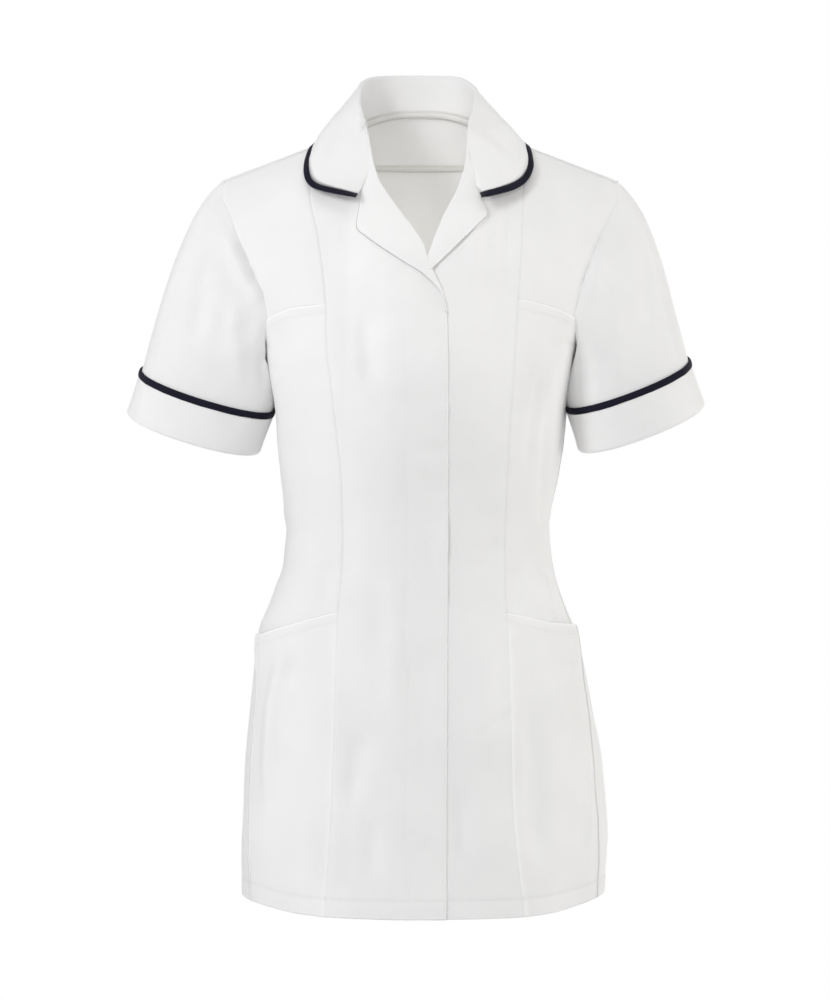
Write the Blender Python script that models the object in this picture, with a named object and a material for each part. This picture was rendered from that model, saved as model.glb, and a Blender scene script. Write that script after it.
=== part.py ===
"""Medical tunic for women, hip length, worn form, in separate cut pieces.

+Z is up and the front faces -Y.  Lengths are in millimetres until a mesh is made.
The origin lies midway between the two points where shoulder and neck meet.
"Right" and "left" are the wearer's: right is -X, left is +X.
"""
import math

import bpy
import numpy as np
from mathutils import Vector
from mathutils.bvhtree import BVHTree

MM = 0.001

# ---- cloth and seams -------------------------------------------------------
WALL = 1.2             # one layer of poly-cotton with its turnings
DOUBLE_WALL = 2.0      # collar, lapels and bindings: two layers
SEAM_GAP = 0.4         # between neighbouring pieces
LAYER_GAP = 1.1        # between two pieces lying on each other
LAYER = WALL + LAYER_GAP

# ---- body --------------------------------------------------------------------
HEM_Z = -748.0
HEM_RISE = 7.0         # the hem climbs this much from centre front to the side seams
UNDERARM_Z = -212.0
NECK_POINT_X = 67.0    # shoulder-neck point, from the centre line
SHOULDER_X = 190.0     # armhole at the shoulder
SHOULDER_SLOPE = 0.382
SEAM_FORWARD = 12.0    # the shoulder seam lies forward of the ridge
SQUARE = 2.4           # roundness of the rings: 2 is an ellipse
RIDGE_FRONT = (3.2, 0.68)   # depth = a * (drop below the ridge) ** b
RIDGE_BACK = (9.0, 0.5)
SOFT_MIN = 5.0
NORMAL_STEP = 0.6      # step used to measure the surface's slope
RIDGE_DEPTH = 12.0     # the rings' widths are read this far below the ridge
BUST_FULLNESS = 6.0
BUST_X = 75.0
BUST_Z = -240.0
BUST_SPREAD = 48.0

SECTION_COLUMNS = ("z", "half_right", "half_left", "front", "back")
SECTIONS = (
    (30.0, 240.0, 240.0, 28.0, 63.0),
    (0.0, 236.0, 236.0, 38.0, 70.0),
    (-47.0, 222.0, 222.0, 56.0, 84.0),
    (-100.0, 200.0, 200.0, 75.0, 95.0),
    (-150.0, 178.0, 178.0, 92.0, 101.0),
    (-212.0, 153.0, 152.0, 112.0, 103.0),
    (-245.0, 145.5, 144.0, 120.0, 101.0),
    (-274.0, 141.0, 139.5, 118.0, 98.0),
    (-311.0, 138.0, 136.0, 111.0, 91.0),
    (-359.0, 132.5, 129.5, 102.0, 83.0),
    (-389.0, 130.0, 126.0, 99.0, 81.0),
    (-418.0, 132.5, 128.0, 99.0, 84.0),
    (-457.0, 146.0, 139.0, 102.0, 96.0),
    (-486.0, 157.0, 151.0, 107.0, 108.0),
    (-554.0, 165.0, 166.0, 114.0, 121.0),
    (-632.0, 171.0, 176.0, 118.0, 126.0),
    (-700.0, 173.0, 181.0, 120.0, 127.0),
    (-750.0, 172.0, 179.0, 120.0, 127.0),
)

# distance of the princess seams from the centre line
PRINCESS_COLUMNS = ("z", "right", "left")
PRINCESS = (
    (0.0, 110.0, 102.0),
    (-66.0, 106.0, 98.5),
    (-110.0, 97.0, 96.5),
    (-170.0, 89.5, 92.5),
    (-240.0, 85.0, 88.0),
    (-300.0, 78.0, 83.5),
    (-345.0, 74.0, 81.5),
    (-400.0, 73.0, 79.5),
    (-465.0, 77.5, 81.5),
    (-540.0, 79.5, 84.5),
    (-640.0, 82.5, 86.5),
    (-700.0, 86.0, 91.5),
    (-746.0, 89.0, 97.0),
)

# distance of the armhole edge from the centre line, front and back
ARMHOLE_COLUMNS = ("z", "front", "back")
ARMHOLE = (
    (-40.0, 190.0, 190.0),
    (-66.0, 189.8, 190.0),
    (-78.0, 184.5, 187.5),
    (-101.0, 176.0, 181.0),
    (-131.0, 163.0, 172.0),
    (-165.0, 150.5, 161.0),
    (-184.0, 146.5, 155.0),
    (-200.0, 147.5, 152.0),
    (-208.0, 150.3, 152.3),
    (-212.0, 153.0, 153.0),
)

# ring angle of the side seam, 90 is the very side and less is forward
SIDE_COLUMNS = ("z", "angle")
SIDE_SEAM = (
    (-212.0, 90.0),
    (-300.0, 88.0),
    (-390.0, 86.0),
    (-450.0, 80.0),
    (-490.0, 74.0),
    (-560.0, 70.0),
    (-746.0, 67.0),
)

# inner edges of the two fronts: neck edge above the break, front edge below
FRONT_EDGE_COLUMNS = ("z", "right", "left")
FRONT_EDGE = (
    (-8.0, -66.0, 66.0),
    (-14.0, -58.0, 58.0),
    (-28.0, -52.0, 51.0),
    (-53.0, -45.0, 43.0),
    (-82.0, -27.0, 31.0),
    (-110.0, -6.0, 17.0),
    (-137.0, 9.0, 1.0),
    (-161.0, 20.0, -20.0),
    (-184.0, 25.0, -24.0),
    (-250.0, 26.0, -24.0),
    (-746.0, 24.0, -24.0),
)

# columns of the cut pieces: shares of the way across
FRONT_SHARES = (0.0, 0.16, 0.36, 0.58, 0.8, 1.0)
SIDE_FRONT_SHARES = (0.0, 0.18, 0.37, 0.56, 0.74, 0.89, 1.0)
# rows of the cut pieces: shares of the way from shoulder to underarm, then heights
UPPER_ROWS = (0.0, 0.1, 0.22, 0.36, 0.5, 0.63, 0.75, 0.86, 0.94, 1.0)
LOWER_ROWS = (-238.0, -266.0, -298.0, -334.0, -372.0, -410.0, -450.0, -496.0,
              -545.0, -600.0, -665.0, HEM_Z)

# ---- pockets: mouths in the side fronts, as distance and height --------------
MOUTH_COLUMNS = ("x", "z")
CHEST_MOUTH = {
    "right": ((80.0, -173.0), (89.0, -174.0), (121.6, -176.5), (147.7, -186.6)),
    "left": ((80.0, -167.0), (92.0, -168.7), (114.0, -173.0), (131.0, -177.6), (153.4, -187.0)),
}
HIP_MOUTH = {
    "right": ((60.0, -460.0), (77.7, -463.5), (122.5, -476.6), (157.0, -490.9)),
    "left": ((60.0, -460.0), (81.9, -464.4), (117.2, -473.6), (149.1, -482.4), (155.0, -489.6)),
}
CHEST_BAG_Z = -298.0     # the shoulder panel backs the chest pocket down to here
HIP_BAG_Z = -600.0       # the middle panel backs the hip pocket down to here
HIP_ROW_Z = -545.0       # first whole row below the hip pocket's mouth
BLEND = 30.0             # an outer layer comes back to the body over this height
BLEND_LEAD = 6.0         # and starts to this far above the end of the layer under it
CHEST_BETWEEN = (0.5,)   # rows between a mouth and the first whole row
HIP_BETWEEN = (0.45,)

# ---- concealed press studs ----------------------------------------------------
STUD_RADIUS = 5.5
STUD_HEIGHT = 1.4
STUD_GAP = 0.5
STUD_X = -9.0
STUD_Z = (-205.0, -300.0, -395.0, -490.0, -585.0)
STUD_SIDES = 12
AHEAD = 300.0            # a point this far forward is before the whole garment
PLACKET_RAISE = WALL + STUD_HEIGHT + 2.2 * STUD_GAP
PLACKET_TOP = (-118.0, -150.0)      # the placket rises off the other front over this height
PLACKET_COLUMNS = ("x", "raise")
PLACKET = (
    (-64.0, 0.0),
    (-42.0, LAYER + 0.4),
    (-26.0, PLACKET_RAISE),
    (6.0, PLACKET_RAISE),
    (30.0, LAYER + 0.6),
)

# ---- sleeves ---------------------------------------------------------------------
TRIM_WIDTH = 6.5
CUFF_DROP_SHARE = (0.0, 0.5, 1.0)
RING_COLUMNS = ("x", "y", "z", "half_width", "half_depth")
# rings at the binding's upper edge, the cuff's upper edge and the cuff's lower edge
BINDING_RING = 0
CUFF_RING = 1
CUFF_END_RING = 2
SLEEVE_RINGS = {
    "right": ((209.8, 3.0, -250.5, 63.8, 41.0),
              (211.3, 3.0, -257.0, 64.0, 41.5),
              (221.5, 4.0, -292.0, 65.2, 43.0)),
    "left": ((205.0, 3.0, -243.5, 60.2, 41.0),
             (206.5, 3.0, -250.0, 60.5, 41.5),
             (216.3, 4.0, -287.0, 63.2, 43.0)),
}
RING_POWER = 0.92          # 1 is an ellipse, less is squarer
RING_TILT = {"right": 17.0, "left": 20.5}     # degrees, inner side lower
RING_FRONT_DROP = 0.29                      # the front of a ring hangs lower
SLEEVE_ROWS = (0.0, 0.12, 0.3, 0.5, 0.74, 1.0)
# direction and strength of the cloth where it leaves the armhole
SLEEVE_TOP_PULL = (0.86, 0.0, -0.5)
SLEEVE_LOW_PULL = (0.35, 0.0, -0.94)
SLEEVE_PULL = (150.0, 40.0)
SLEEVE_SPREAD = 22.0
SLEEVE_END_PULL = 120.0
SLEEVE_STEP = 4.6        # the sleeve lies outside the panels at the underarm
SLEEVE_HEAD_GAP = 1.0    # and beside them at the shoulder
ARMHOLE_CENTRE = (150.0, 0.0, -130.0)
ARMHOLE_TURN = (-150.0, -205.0)   # between these heights the head becomes the underarm
SLEEVE_IN_CUFF = 0.95      # the sleeve ends this far down inside the cuff
BINDING_RAISE = 0.2

# ---- collar and lapels: rows of points (x, y, z) -----------------------------------
COLLAR_LINES = ("neck", "roll", "outer")
COLLAR_CENTRE = ((0.0, 54.6, 25.5), (0.0, 57.0, 64.0), (0.0, 67.0, 0.0))
COLLAR = {
    "right": (
        ((-20.0, 51.5, 24.4), (-20.0, 54.5, 63.5), (-32.0, 63.0, -4.0)),
        ((-40.5, 42.2, 19.2), (-38.0, 44.0, 61.0), (-58.0, 49.0, -10.0)),
        ((-54.2, 28.9, 11.9), (-50.0, 29.0, 56.0), (-82.0, 30.0, -16.0)),
        ((-61.2, 18.0, 6.4), (-55.5, 15.0, 49.0), (-100.5, 11.0, -12.5)),
        ((-63.5, 3.0, 5.0), (-57.0, 1.0, 39.5), (-108.5, -6.0, -18.5)),
        ((-61.0, -10.0, 9.0), (-57.5, -11.0, 28.0), (-112.7, -28.0, -37.0)),
    ),
    "left": (
        ((20.0, 51.5, 24.4), (20.0, 54.5, 63.0), (32.0, 63.0, -4.0)),
        ((40.5, 42.2, 19.2), (36.0, 44.0, 60.0), (58.0, 49.0, -10.0)),
        ((54.2, 28.9, 11.9), (47.0, 29.0, 52.0), (82.0, 30.0, -16.0)),
        ((61.2, 18.0, 6.4), (53.0, 15.0, 42.0), (101.5, 11.0, -12.0)),
        ((62.0, 3.0, 5.0), (52.5, 1.0, 30.0), (107.5, -6.0, -17.5)),
        ((58.0, -10.0, 5.0), (49.5, -13.0, 16.0), (110.0, -25.0, -33.0)),
    ),
}
# past the point where the neck seam crosses the roll line: gorge and outer edge
GORGE = {
    "right": (((-55.5, -24.0, 10.0), (-111.5, -38.0, -48.0)),
              ((-56.5, -44.0, -20.0), (-107.0, -46.0, -57.5)),
              ((-56.5, -60.0, -43.0), (-92.0, -58.0, -65.0)),
              ((-58.5, -71.0, -63.0), (-62.0, -73.0, -71.0))),
    "left": (((48.5, -26.0, 2.0), (108.5, -34.0, -42.0)),
             ((53.0, -46.0, -22.0), (104.0, -44.0, -52.0)),
             ((56.0, -60.0, -45.0), (90.0, -56.0, -61.5)),
             ((58.5, -69.0, -60.0), (62.0, -71.0, -68.5))),
}
# roll line and free edge of the lapels
LAPEL_LINES = ("roll", "edge")
LAPEL = {
    "right": (((-54.0, -27.0, 4.0), (-54.6, -28.5, 1.0)),
              ((-51.0, -36.0, -6.0), (-54.4, -43.0, -21.0)),
              ((-46.0, -52.0, -34.0), (-54.4, -60.0, -44.0)),
              ((-40.0, -64.0, -53.5), (-55.8, -73.0, -66.0)),
              ((-34.0, -68.0, -64.0), (-57.3, -77.0, -75.0)),
              ((-19.0, -78.0, -86.0), (-61.4, -85.0, -101.5)),
              ((-9.0, -83.0, -99.0), (-46.0, -91.0, -113.5)),
              ((3.0, -90.0, -118.0), (-22.0, -97.0, -130.5)),
              ((9.0, -95.0, -136.0), (0.0, -99.0, -144.0)),
              ((13.5, -98.0, -147.0), (11.0, -101.0, -153.5))),
    "left": (((47.0, -34.0, -9.5), (47.8, -36.0, -12.5)),
             ((46.0, -45.0, -24.0), (50.4, -46.0, -26.0)),
             ((43.0, -56.0, -42.0), (53.8, -60.0, -46.5)),
             ((39.0, -63.0, -56.0), (56.0, -71.0, -63.5)),
             ((34.0, -68.0, -68.0), (58.0, -74.0, -72.0)),
             ((23.5, -78.0, -88.0), (64.9, -81.0, -87.0)),
             ((18.0, -83.0, -101.0), (51.0, -87.0, -101.5)),
             ((13.0, -87.0, -114.0), (37.3, -92.0, -115.0)),
             ((9.5, -90.0, -124.0), (24.0, -95.0, -128.5))),
}
FALL_BULGE = 1.8
FOLD = ((0.0, 0.0), (3.0, -0.2), (4.6, -3.0))   # outward and up from the roll line
LIFT_REACH = 9.0         # only what lies this near a piece is moved off it
LAPEL_CLEARANCE = 0.6
SETTLE_STEPS = 12
LAPEL_SPRING = 1.0       # the free edge stands off this much more
LAPEL_SHARES = (0.0, 0.12, 0.4, 0.7, 1.0)
FALL_CLEARANCE = 0.9     # the collar springs clear of what it lies on
STAND_DROP = 3.9         # the stand's upper edge lies this far under the fold
STAND_ENDS = (0.03, 0.9)    # shares of the collar's length where the stand starts and ends
STAND_POINTS = 19
STAND_SHARES = (0.0, 0.35, 0.68, 1.0)
FALL_POINTS = 29
FALL_SHARES = (0.0, 0.14, 0.38, 0.7, 1.0)
FOLD_SHARES = (0.09, 0.19)    # shares of the length between the flat gorge and the full fold
FOLD_LEAN = 0.02         # rows at the flat gorge lie this share of the width apart
FALL_LEAN = 0.05
FACING_BOTTOM_Z = -30.0
FACING_HALF = 60.0
FACING_GAP = 1.8
FACING_TAPER = 4.0       # narrower at the neck edge
FACING_DROP = 1.0
FACING_COLUMNS = 13
FACING_ROWS = 4

WHITE = (0.87, 0.87, 0.86)
NAVY = (0.012, 0.014, 0.045)
STEEL = (0.62, 0.63, 0.65)


# ---- tables and curves -----------------------------------------------------------
def pick(rows, columns, name):
    """One named column of a table, as an array."""
    return np.array([row[columns.index(name)] for row in rows], dtype=float)


def curve(knots, values, at):
    """Smooth curve through the knots that doesn't overshoot (monotone cubic)."""
    order = np.argsort(knots)
    x, y = np.asarray(knots, float)[order], np.asarray(values, float)[order]
    at = np.clip(np.asarray(at, float), x[0], x[-1])
    step = np.diff(x)
    slope = np.diff(y) / step
    grade = np.zeros(len(x))
    grade[0], grade[-1] = slope[0], slope[-1]
    same = slope[:-1] * slope[1:] > 0
    w1 = 2 * step[1:] + step[:-1]
    w2 = step[1:] + 2 * step[:-1]
    safe_a = np.where(same, slope[:-1], 1.0)
    safe_b = np.where(same, slope[1:], 1.0)
    grade[1:-1] = np.where(same, (w1 + w2) / (w1 / safe_a + w2 / safe_b), 0.0)
    k = np.clip(np.searchsorted(x, at, side="right") - 1, 0, len(x) - 2)
    t = (at - x[k]) / step[k]
    return (y[k] * (1 + 2 * t) * (1 - t) ** 2 + step[k] * grade[k] * t * (1 - t) ** 2
            + y[k + 1] * t * t * (3 - 2 * t) + step[k] * grade[k + 1] * t * t * (t - 1))


def through(points, share):
    """Smooth space curve through points, at shares 0..1 of its length."""
    points = np.asarray(points, float)
    length = np.concatenate([[0.0], np.cumsum(np.linalg.norm(np.diff(points, axis=0), axis=1))])
    length /= length[-1]
    return np.stack([curve(length, points[:, k], share) for k in range(3)], axis=-1)


def ramp(value, start, end):
    """0 at start, 1 at end, smooth between."""
    t = np.clip((np.asarray(value, float) - start) / (end - start), 0.0, 1.0)
    return t * t * (3 - 2 * t)


# ---- form of the body ----------------------------------------------------------------
def half_width(z, side):
    return curve(pick(SECTIONS, SECTION_COLUMNS, "z"),
                 pick(SECTIONS, SECTION_COLUMNS, "half_" + side), z)


def ridge(x):
    """Height of the shoulder ridge over a point this far from the centre."""
    x = np.abs(x)
    inside = np.maximum(NECK_POINT_X - x, 0.0)
    return np.where(x > NECK_POINT_X, -(x - NECK_POINT_X) * SHOULDER_SLOPE,
                    2.0 * inside - 0.013 * inside ** 2)


def depth(x, z, is_front):
    """Distance of the body's surface before or behind the ridge plane, at the middle."""
    drop = np.maximum(ridge(x) - z, 1e-6)
    zs = pick(SECTIONS, SECTION_COLUMNS, "z")
    front = curve(zs, pick(SECTIONS, SECTION_COLUMNS, "front"), z)
    back = curve(zs, pick(SECTIONS, SECTION_COLUMNS, "back"), z)
    full = np.exp(-((np.abs(x) - BUST_X) / BUST_SPREAD) ** 2 - ((z - BUST_Z) / BUST_SPREAD) ** 2)
    flat = np.where(is_front, front + BUST_FULLNESS * full, back)
    near = np.where(is_front, RIDGE_FRONT[0] * drop ** RIDGE_FRONT[1],
                    RIDGE_BACK[0] * drop ** RIDGE_BACK[1])
    return (near ** -SOFT_MIN + flat ** -SOFT_MIN) ** (-1 / SOFT_MIN)


def body(angle, z):
    """Point of the body: angle 0 is centre front, 90 the left side, -90 the right."""
    angle, z = np.broadcast_arrays(np.asarray(angle, float), np.asarray(z, float))
    angle = np.where(angle > 180.0, angle - 360.0, angle)
    wide = np.where(angle < 0, half_width(z, "right"), half_width(z, "left"))
    turn = np.radians(np.abs(angle))
    x = np.sign(angle) * wide * np.sin(turn).clip(0) ** (2 / SQUARE)
    is_front = np.abs(angle) <= 90.0
    reach = depth(x, z, is_front) * np.abs(np.cos(turn)) ** (2 / SQUARE)
    return np.stack([x, np.where(is_front, -reach, reach), z], axis=-1)


def body_normal(angle, z):
    """Outward normal of the body's surface."""
    angle, z = np.broadcast_arrays(np.asarray(angle, float), np.asarray(z, float))
    across = body(angle + NORMAL_STEP, z) - body(angle - NORMAL_STEP, z)
    down = body(angle, z - NORMAL_STEP) - body(angle, z + NORMAL_STEP)
    normal = np.cross(down, across)
    return normal / np.linalg.norm(normal, axis=-1, keepdims=True)


def ridge_normal(x, y):
    """Outward normal of the shoulder near its ridge."""
    fall = (over_ridge(x, y) - over_ridge(x, y + NORMAL_STEP)) / NORMAL_STEP
    side = (over_ridge(x, y) - over_ridge(x + NORMAL_STEP, y)) / NORMAL_STEP
    normal = np.array([side, fall, 1.0])
    return normal / np.linalg.norm(normal)


def hem_height(angle):
    """Height of the hem round the body."""
    turn = np.radians(np.minimum(np.abs(angle), 90.0))
    return HEM_Z + HEM_RISE * np.sin(turn) ** 2


def angle_at(x, z):
    """Ring angle of the front point this far from the centre line (signed)."""
    x = np.asarray(x, float)
    wide = np.where(x < 0, half_width(z, "right"), half_width(z, "left"))
    share = np.clip(np.abs(x) / wide, 0.0, 1.0)
    return np.sign(x) * np.degrees(np.arcsin(share ** (SQUARE / 2)))


def sign_of(side):
    return -1.0 if side == "right" else 1.0


def princess_angle(z, side):
    x = curve(pick(PRINCESS, PRINCESS_COLUMNS, "z"), pick(PRINCESS, PRINCESS_COLUMNS, side), z)
    return np.abs(angle_at(sign_of(side) * x, z))


def outer_angle(z, side, face):
    """Ring angle of the armhole edge above the underarm, of the side seam below."""
    edge = curve(pick(ARMHOLE, ARMHOLE_COLUMNS, "z"), pick(ARMHOLE, ARMHOLE_COLUMNS, face), z)
    arm = np.abs(angle_at(sign_of(side) * edge, z))
    if face == "back":
        arm = 180.0 - arm
    seam = curve(pick(SIDE_SEAM, SIDE_COLUMNS, "z"), pick(SIDE_SEAM, SIDE_COLUMNS, "angle"), z)
    return np.where(np.asarray(z) > UNDERARM_Z, arm, seam)


def degrees_of(gap, z):
    """A gap along the ring in millimetres, as a ring angle."""
    return np.degrees(gap / half_width(z, "right"))


def rows_below(top):
    """Heights of a column's rows, from its own top to the hem."""
    upper = [top + (UNDERARM_Z - top) * share for share in UPPER_ROWS]
    return np.array(upper + list(LOWER_ROWS))


def over_ridge(x, y):
    """Height of the shoulder at this distance from the centre and from the ridge plane."""
    scale, power = RIDGE_FRONT if y < 0 else RIDGE_BACK
    z = float(ridge(x)) - RIDGE_DEPTH
    wide = float(half_width(z, "right"))
    lateral = (1.0 - (abs(x) / wide) ** SQUARE) ** (1 / SQUARE)
    return float(ridge(x)) - (abs(y) / (scale * lateral)) ** (1 / power)


# ---- solids ----------------------------------------------------------------------------
def grid_normals(grid, closed):
    """Normals of a grid of points (rows, columns, 3)."""
    down = np.gradient(grid, axis=0)
    if closed:
        across = np.roll(grid, -1, axis=1) - np.roll(grid, 1, axis=1)
    else:
        across = np.gradient(grid, axis=1)
    normal = np.cross(across, down)
    return normal / np.linalg.norm(normal, axis=-1, keepdims=True).clip(1e-9)


def cloth(name, grid, thick, colour, closed=False, flip=False, raise_by=None, normal=None):
    """A wall of cloth: the grid is its outer face, and the wall lies under it."""
    grid = np.asarray(grid, float)
    if normal is None:
        normal = grid_normals(grid, closed) * (-1.0 if flip else 1.0)
    if raise_by is not None:
        grid = grid + normal * raise_by[..., None]
    inner = grid - normal * thick
    rows, cols = grid.shape[:2]
    count = rows * cols
    points = np.concatenate([grid.reshape(-1, 3), inner.reshape(-1, 3)])
    faces = []

    def at(row, col, layer):
        return layer * count + row * cols + col % cols

    spans = cols if closed else cols - 1
    for row in range(rows - 1):
        for col in range(spans):
            a, b = at(row, col, 0), at(row, col + 1, 0)
            c, d = at(row + 1, col + 1, 0), at(row + 1, col, 0)
            faces += [(a, b, c), (a, c, d)]
            faces += [(a + count, c + count, b + count), (a + count, d + count, c + count)]
    for col in range(spans):
        for row, turn in ((0, False), (rows - 1, True)):
            a, b = at(row, col, 0), at(row, col + 1, 0)
            quad = (b, a, a + count, b + count)
            quad = quad[::-1] if turn else quad
            faces += [(quad[0], quad[1], quad[2]), (quad[0], quad[2], quad[3])]
    if not closed:
        for row in range(rows - 1):
            for col, turn in ((0, True), (cols - 1, False)):
                a, b = at(row, col, 0), at(row + 1, col, 0)
                quad = (b, a, a + count, b + count)
                quad = quad[::-1] if turn else quad
                faces += [(quad[0], quad[1], quad[2]), (quad[0], quad[2], quad[3])]
    solid(name, points, faces, colour)
    outer = grid.reshape(-1, 3)
    shell = [face[::-1] if flip else face for face in faces if max(face) < count]
    return outer, shell


def solid(name, points, triangles, colour, rough=0.85, metal=0.0):
    """A closed body facing out, from points in millimetres."""
    points = np.asarray(points)
    corner = points[np.array(triangles)]
    volume = (corner[:, 0] * np.cross(corner[:, 1], corner[:, 2])).sum()
    faces = [face[::-1] for face in triangles] if volume < 0 else triangles
    mesh = bpy.data.meshes.new(name)
    mesh.from_pydata((points * MM).tolist(), [], faces)
    mesh.update()
    thing = bpy.data.objects.new(name, mesh)
    bpy.context.scene.collection.objects.link(thing)
    mesh.materials.append(material(colour, rough, metal))
    mesh.shade_smooth()
    mesh.set_sharp_from_angle(angle=math.radians(50))
    return thing


MATERIALS = {}


def material(colour, rough, metal):
    key = (colour, rough, metal)
    if key not in MATERIALS:
        names = {WHITE: "white_cloth", NAVY: "navy_binding", STEEL: "stud_metal"}
        made = bpy.data.materials.new(names[colour])
        made.use_nodes = True
        shader = made.node_tree.nodes["Principled BSDF"]
        shader.inputs["Base Color"].default_value = (*colour, 1.0)
        shader.inputs["Roughness"].default_value = rough
        shader.inputs["Metallic"].default_value = metal
        MATERIALS[key] = made
    return MATERIALS[key]


def settle(points, tree, clearance):
    """Move points forward or back until they lie this high above the pieces in the tree."""
    settled = np.array(points, float)
    for _ in range(SETTLE_STEPS):
        for point in settled:
            place, normal, _index, _distance = tree.find_nearest(Vector(point))
            height = (Vector(point) - place).dot(normal)
            point[1] += (clearance - height) * normal.y
    return settled


def lift(points, tree, clearance):
    """Move points out until they clear the pieces in the tree."""
    moved = np.array(points, float)
    flat = moved.reshape(-1, 3)
    for _ in range(3):
        for k, point in enumerate(flat):
            place, normal, _index, distance = tree.find_nearest(Vector(point))
            height = (Vector(point) - place).dot(normal)
            if height < clearance and distance < LIFT_REACH:
                flat[k] = point + np.array(normal) * (clearance - height)
    return flat.reshape(moved.shape)


# ---- front pieces --------------------------------------------------------------------
def seam_height(inner, outer, share):
    """Height at which this column of a front piece meets the shoulder seam."""
    z = -20.0
    for _ in range(24):
        low, high = inner(z), outer(z)
        x = float(body(low + (high - low) * share, z)[0])
        z = (z + over_ridge(abs(x), -SEAM_FORWARD - 1.5 * SEAM_GAP)) / 2
    return z


def panel(inner, outer, shares, first=0, last=None, mouth=None, between=()):
    """Grid of a front piece between two ring angles; each column has its own top."""
    grid, normals = [], []
    for share in shares:
        zs = rows_below(seam_height(inner, outer, share))[first:last]
        if mouth is not None:
            edge = mouth(share)
            zs = np.concatenate([[edge], [edge + (zs[0] - edge) * t for t in between], zs])
        low, high = inner(zs), outer(zs)
        angle = low + (high - low) * share
        zs = np.where(zs == HEM_Z, hem_height(angle), zs)
        grid.append(body(angle, zs))
        normals.append(body_normal(angle, zs))
    return np.stack(grid, axis=1), np.stack(normals, axis=1)


def front(side):
    """Centre front: from the neck and front edge to the princess seam."""
    sign = sign_of(side)
    zs = pick(FRONT_EDGE, FRONT_EDGE_COLUMNS, "z")
    edge = pick(FRONT_EDGE, FRONT_EDGE_COLUMNS, side)

    def inner(z):
        return angle_at(curve(zs, edge, z), z)

    def outer(z):
        return sign * (princess_angle(z, side) - degrees_of(SEAM_GAP / 2, z))

    grid, normal = panel(inner, outer, FRONT_SHARES)
    raised = np.zeros(grid.shape[:2])
    if side == "right":
        over = curve(pick(PLACKET, PLACKET_COLUMNS, "x"), pick(PLACKET, PLACKET_COLUMNS, "raise"),
                     grid[..., 0])
        raised = over * ramp(grid[..., 2], *PLACKET_TOP)
    return cloth("front_" + side, grid, WALL, WHITE, flip=side == "left", raise_by=raised,
                 normal=normal)


def mouth_height(table, side, share):
    """Height of a pocket mouth at this share of the side front's width."""
    xs = pick(table[side], MOUTH_COLUMNS, "x")
    zs = pick(table[side], MOUTH_COLUMNS, "z")
    z = zs.mean()
    for _ in range(12):
        low = princess_angle(z, side)
        high = outer_angle(z, side, "front")
        place = body(sign_of(side) * (low + (high - low) * share), z)
        z = float(curve(xs, zs, abs(place[0])))
    return z


def side_front(side):
    """Three overlapping layers; each lower one's top edge is a pocket mouth."""
    sign = sign_of(side)

    def inner(z):
        return sign * (princess_angle(z, side) + degrees_of(SEAM_GAP / 2, z))

    def outer(z):
        return sign * (outer_angle(z, side, "front") - degrees_of(SEAM_GAP / 2, z))

    flip = side == "left"
    shares = SIDE_FRONT_SHARES
    last = len(UPPER_ROWS) + LOWER_ROWS.index(CHEST_BAG_Z)
    upper, normal = panel(inner, outer, shares, last=last)
    pieces = [cloth("side_front_upper_" + side, upper, WALL, WHITE, flip=flip, normal=normal)]

    last = len(UPPER_ROWS) + LOWER_ROWS.index(HIP_BAG_Z) + 1
    middle, normal = panel(inner, outer, shares, first=len(UPPER_ROWS) - 2, last=last,
                           between=CHEST_BETWEEN,
                           mouth=lambda share: mouth_height(CHEST_MOUTH, side, share))
    raised = LAYER * (1 - ramp(middle[..., 2], CHEST_BAG_Z + BLEND_LEAD, CHEST_BAG_Z - BLEND))
    pieces.append(cloth("side_front_middle_" + side, middle, WALL, WHITE, flip=flip,
                        raise_by=raised, normal=normal))

    first = len(UPPER_ROWS) + LOWER_ROWS.index(HIP_ROW_Z)
    lower, normal = panel(inner, outer, shares, first=first, between=HIP_BETWEEN,
                          mouth=lambda share: mouth_height(HIP_MOUTH, side, share))
    raised = LAYER * (1 - ramp(lower[..., 2], HIP_BAG_Z + BLEND_LEAD, HIP_BAG_Z - BLEND))
    pieces.append(cloth("side_front_lower_" + side, lower, WALL, WHITE, flip=flip,
                        raise_by=raised, normal=normal))
    return upper, pieces


# ---- back ----------------------------------------------------------------------------------
NECK_X = (0.0, 17.0, 34.0, 49.0, 60.0)                 # columns from the neck edge
SHOULDER_COLUMNS = (66.0, 90.0, 115.0, 140.0, 165.0, 190.0)   # and from the shoulder seam
BACK_X = NECK_X + SHOULDER_COLUMNS
BACK_OVER = (-SEAM_FORWARD, -5.0, 4.0, 14.0, 28.0)       # rows over the shoulder ridge
NECK_DROP = (0.0, 2.5, 5.5, 9.0, 13.0)
NECK_EDGE_COLUMNS = ("x", "z")
NECK_EDGE = ((0.0, 25.0), (20.0, 24.0), (41.0, 18.5), (55.0, 11.0), (62.0, 5.0), (66.0, -1.0))


def neck_height(x):
    return curve(pick(NECK_EDGE, NECK_EDGE_COLUMNS, "x"),
                 pick(NECK_EDGE, NECK_EDGE_COLUMNS, "z"), np.abs(x))


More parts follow.
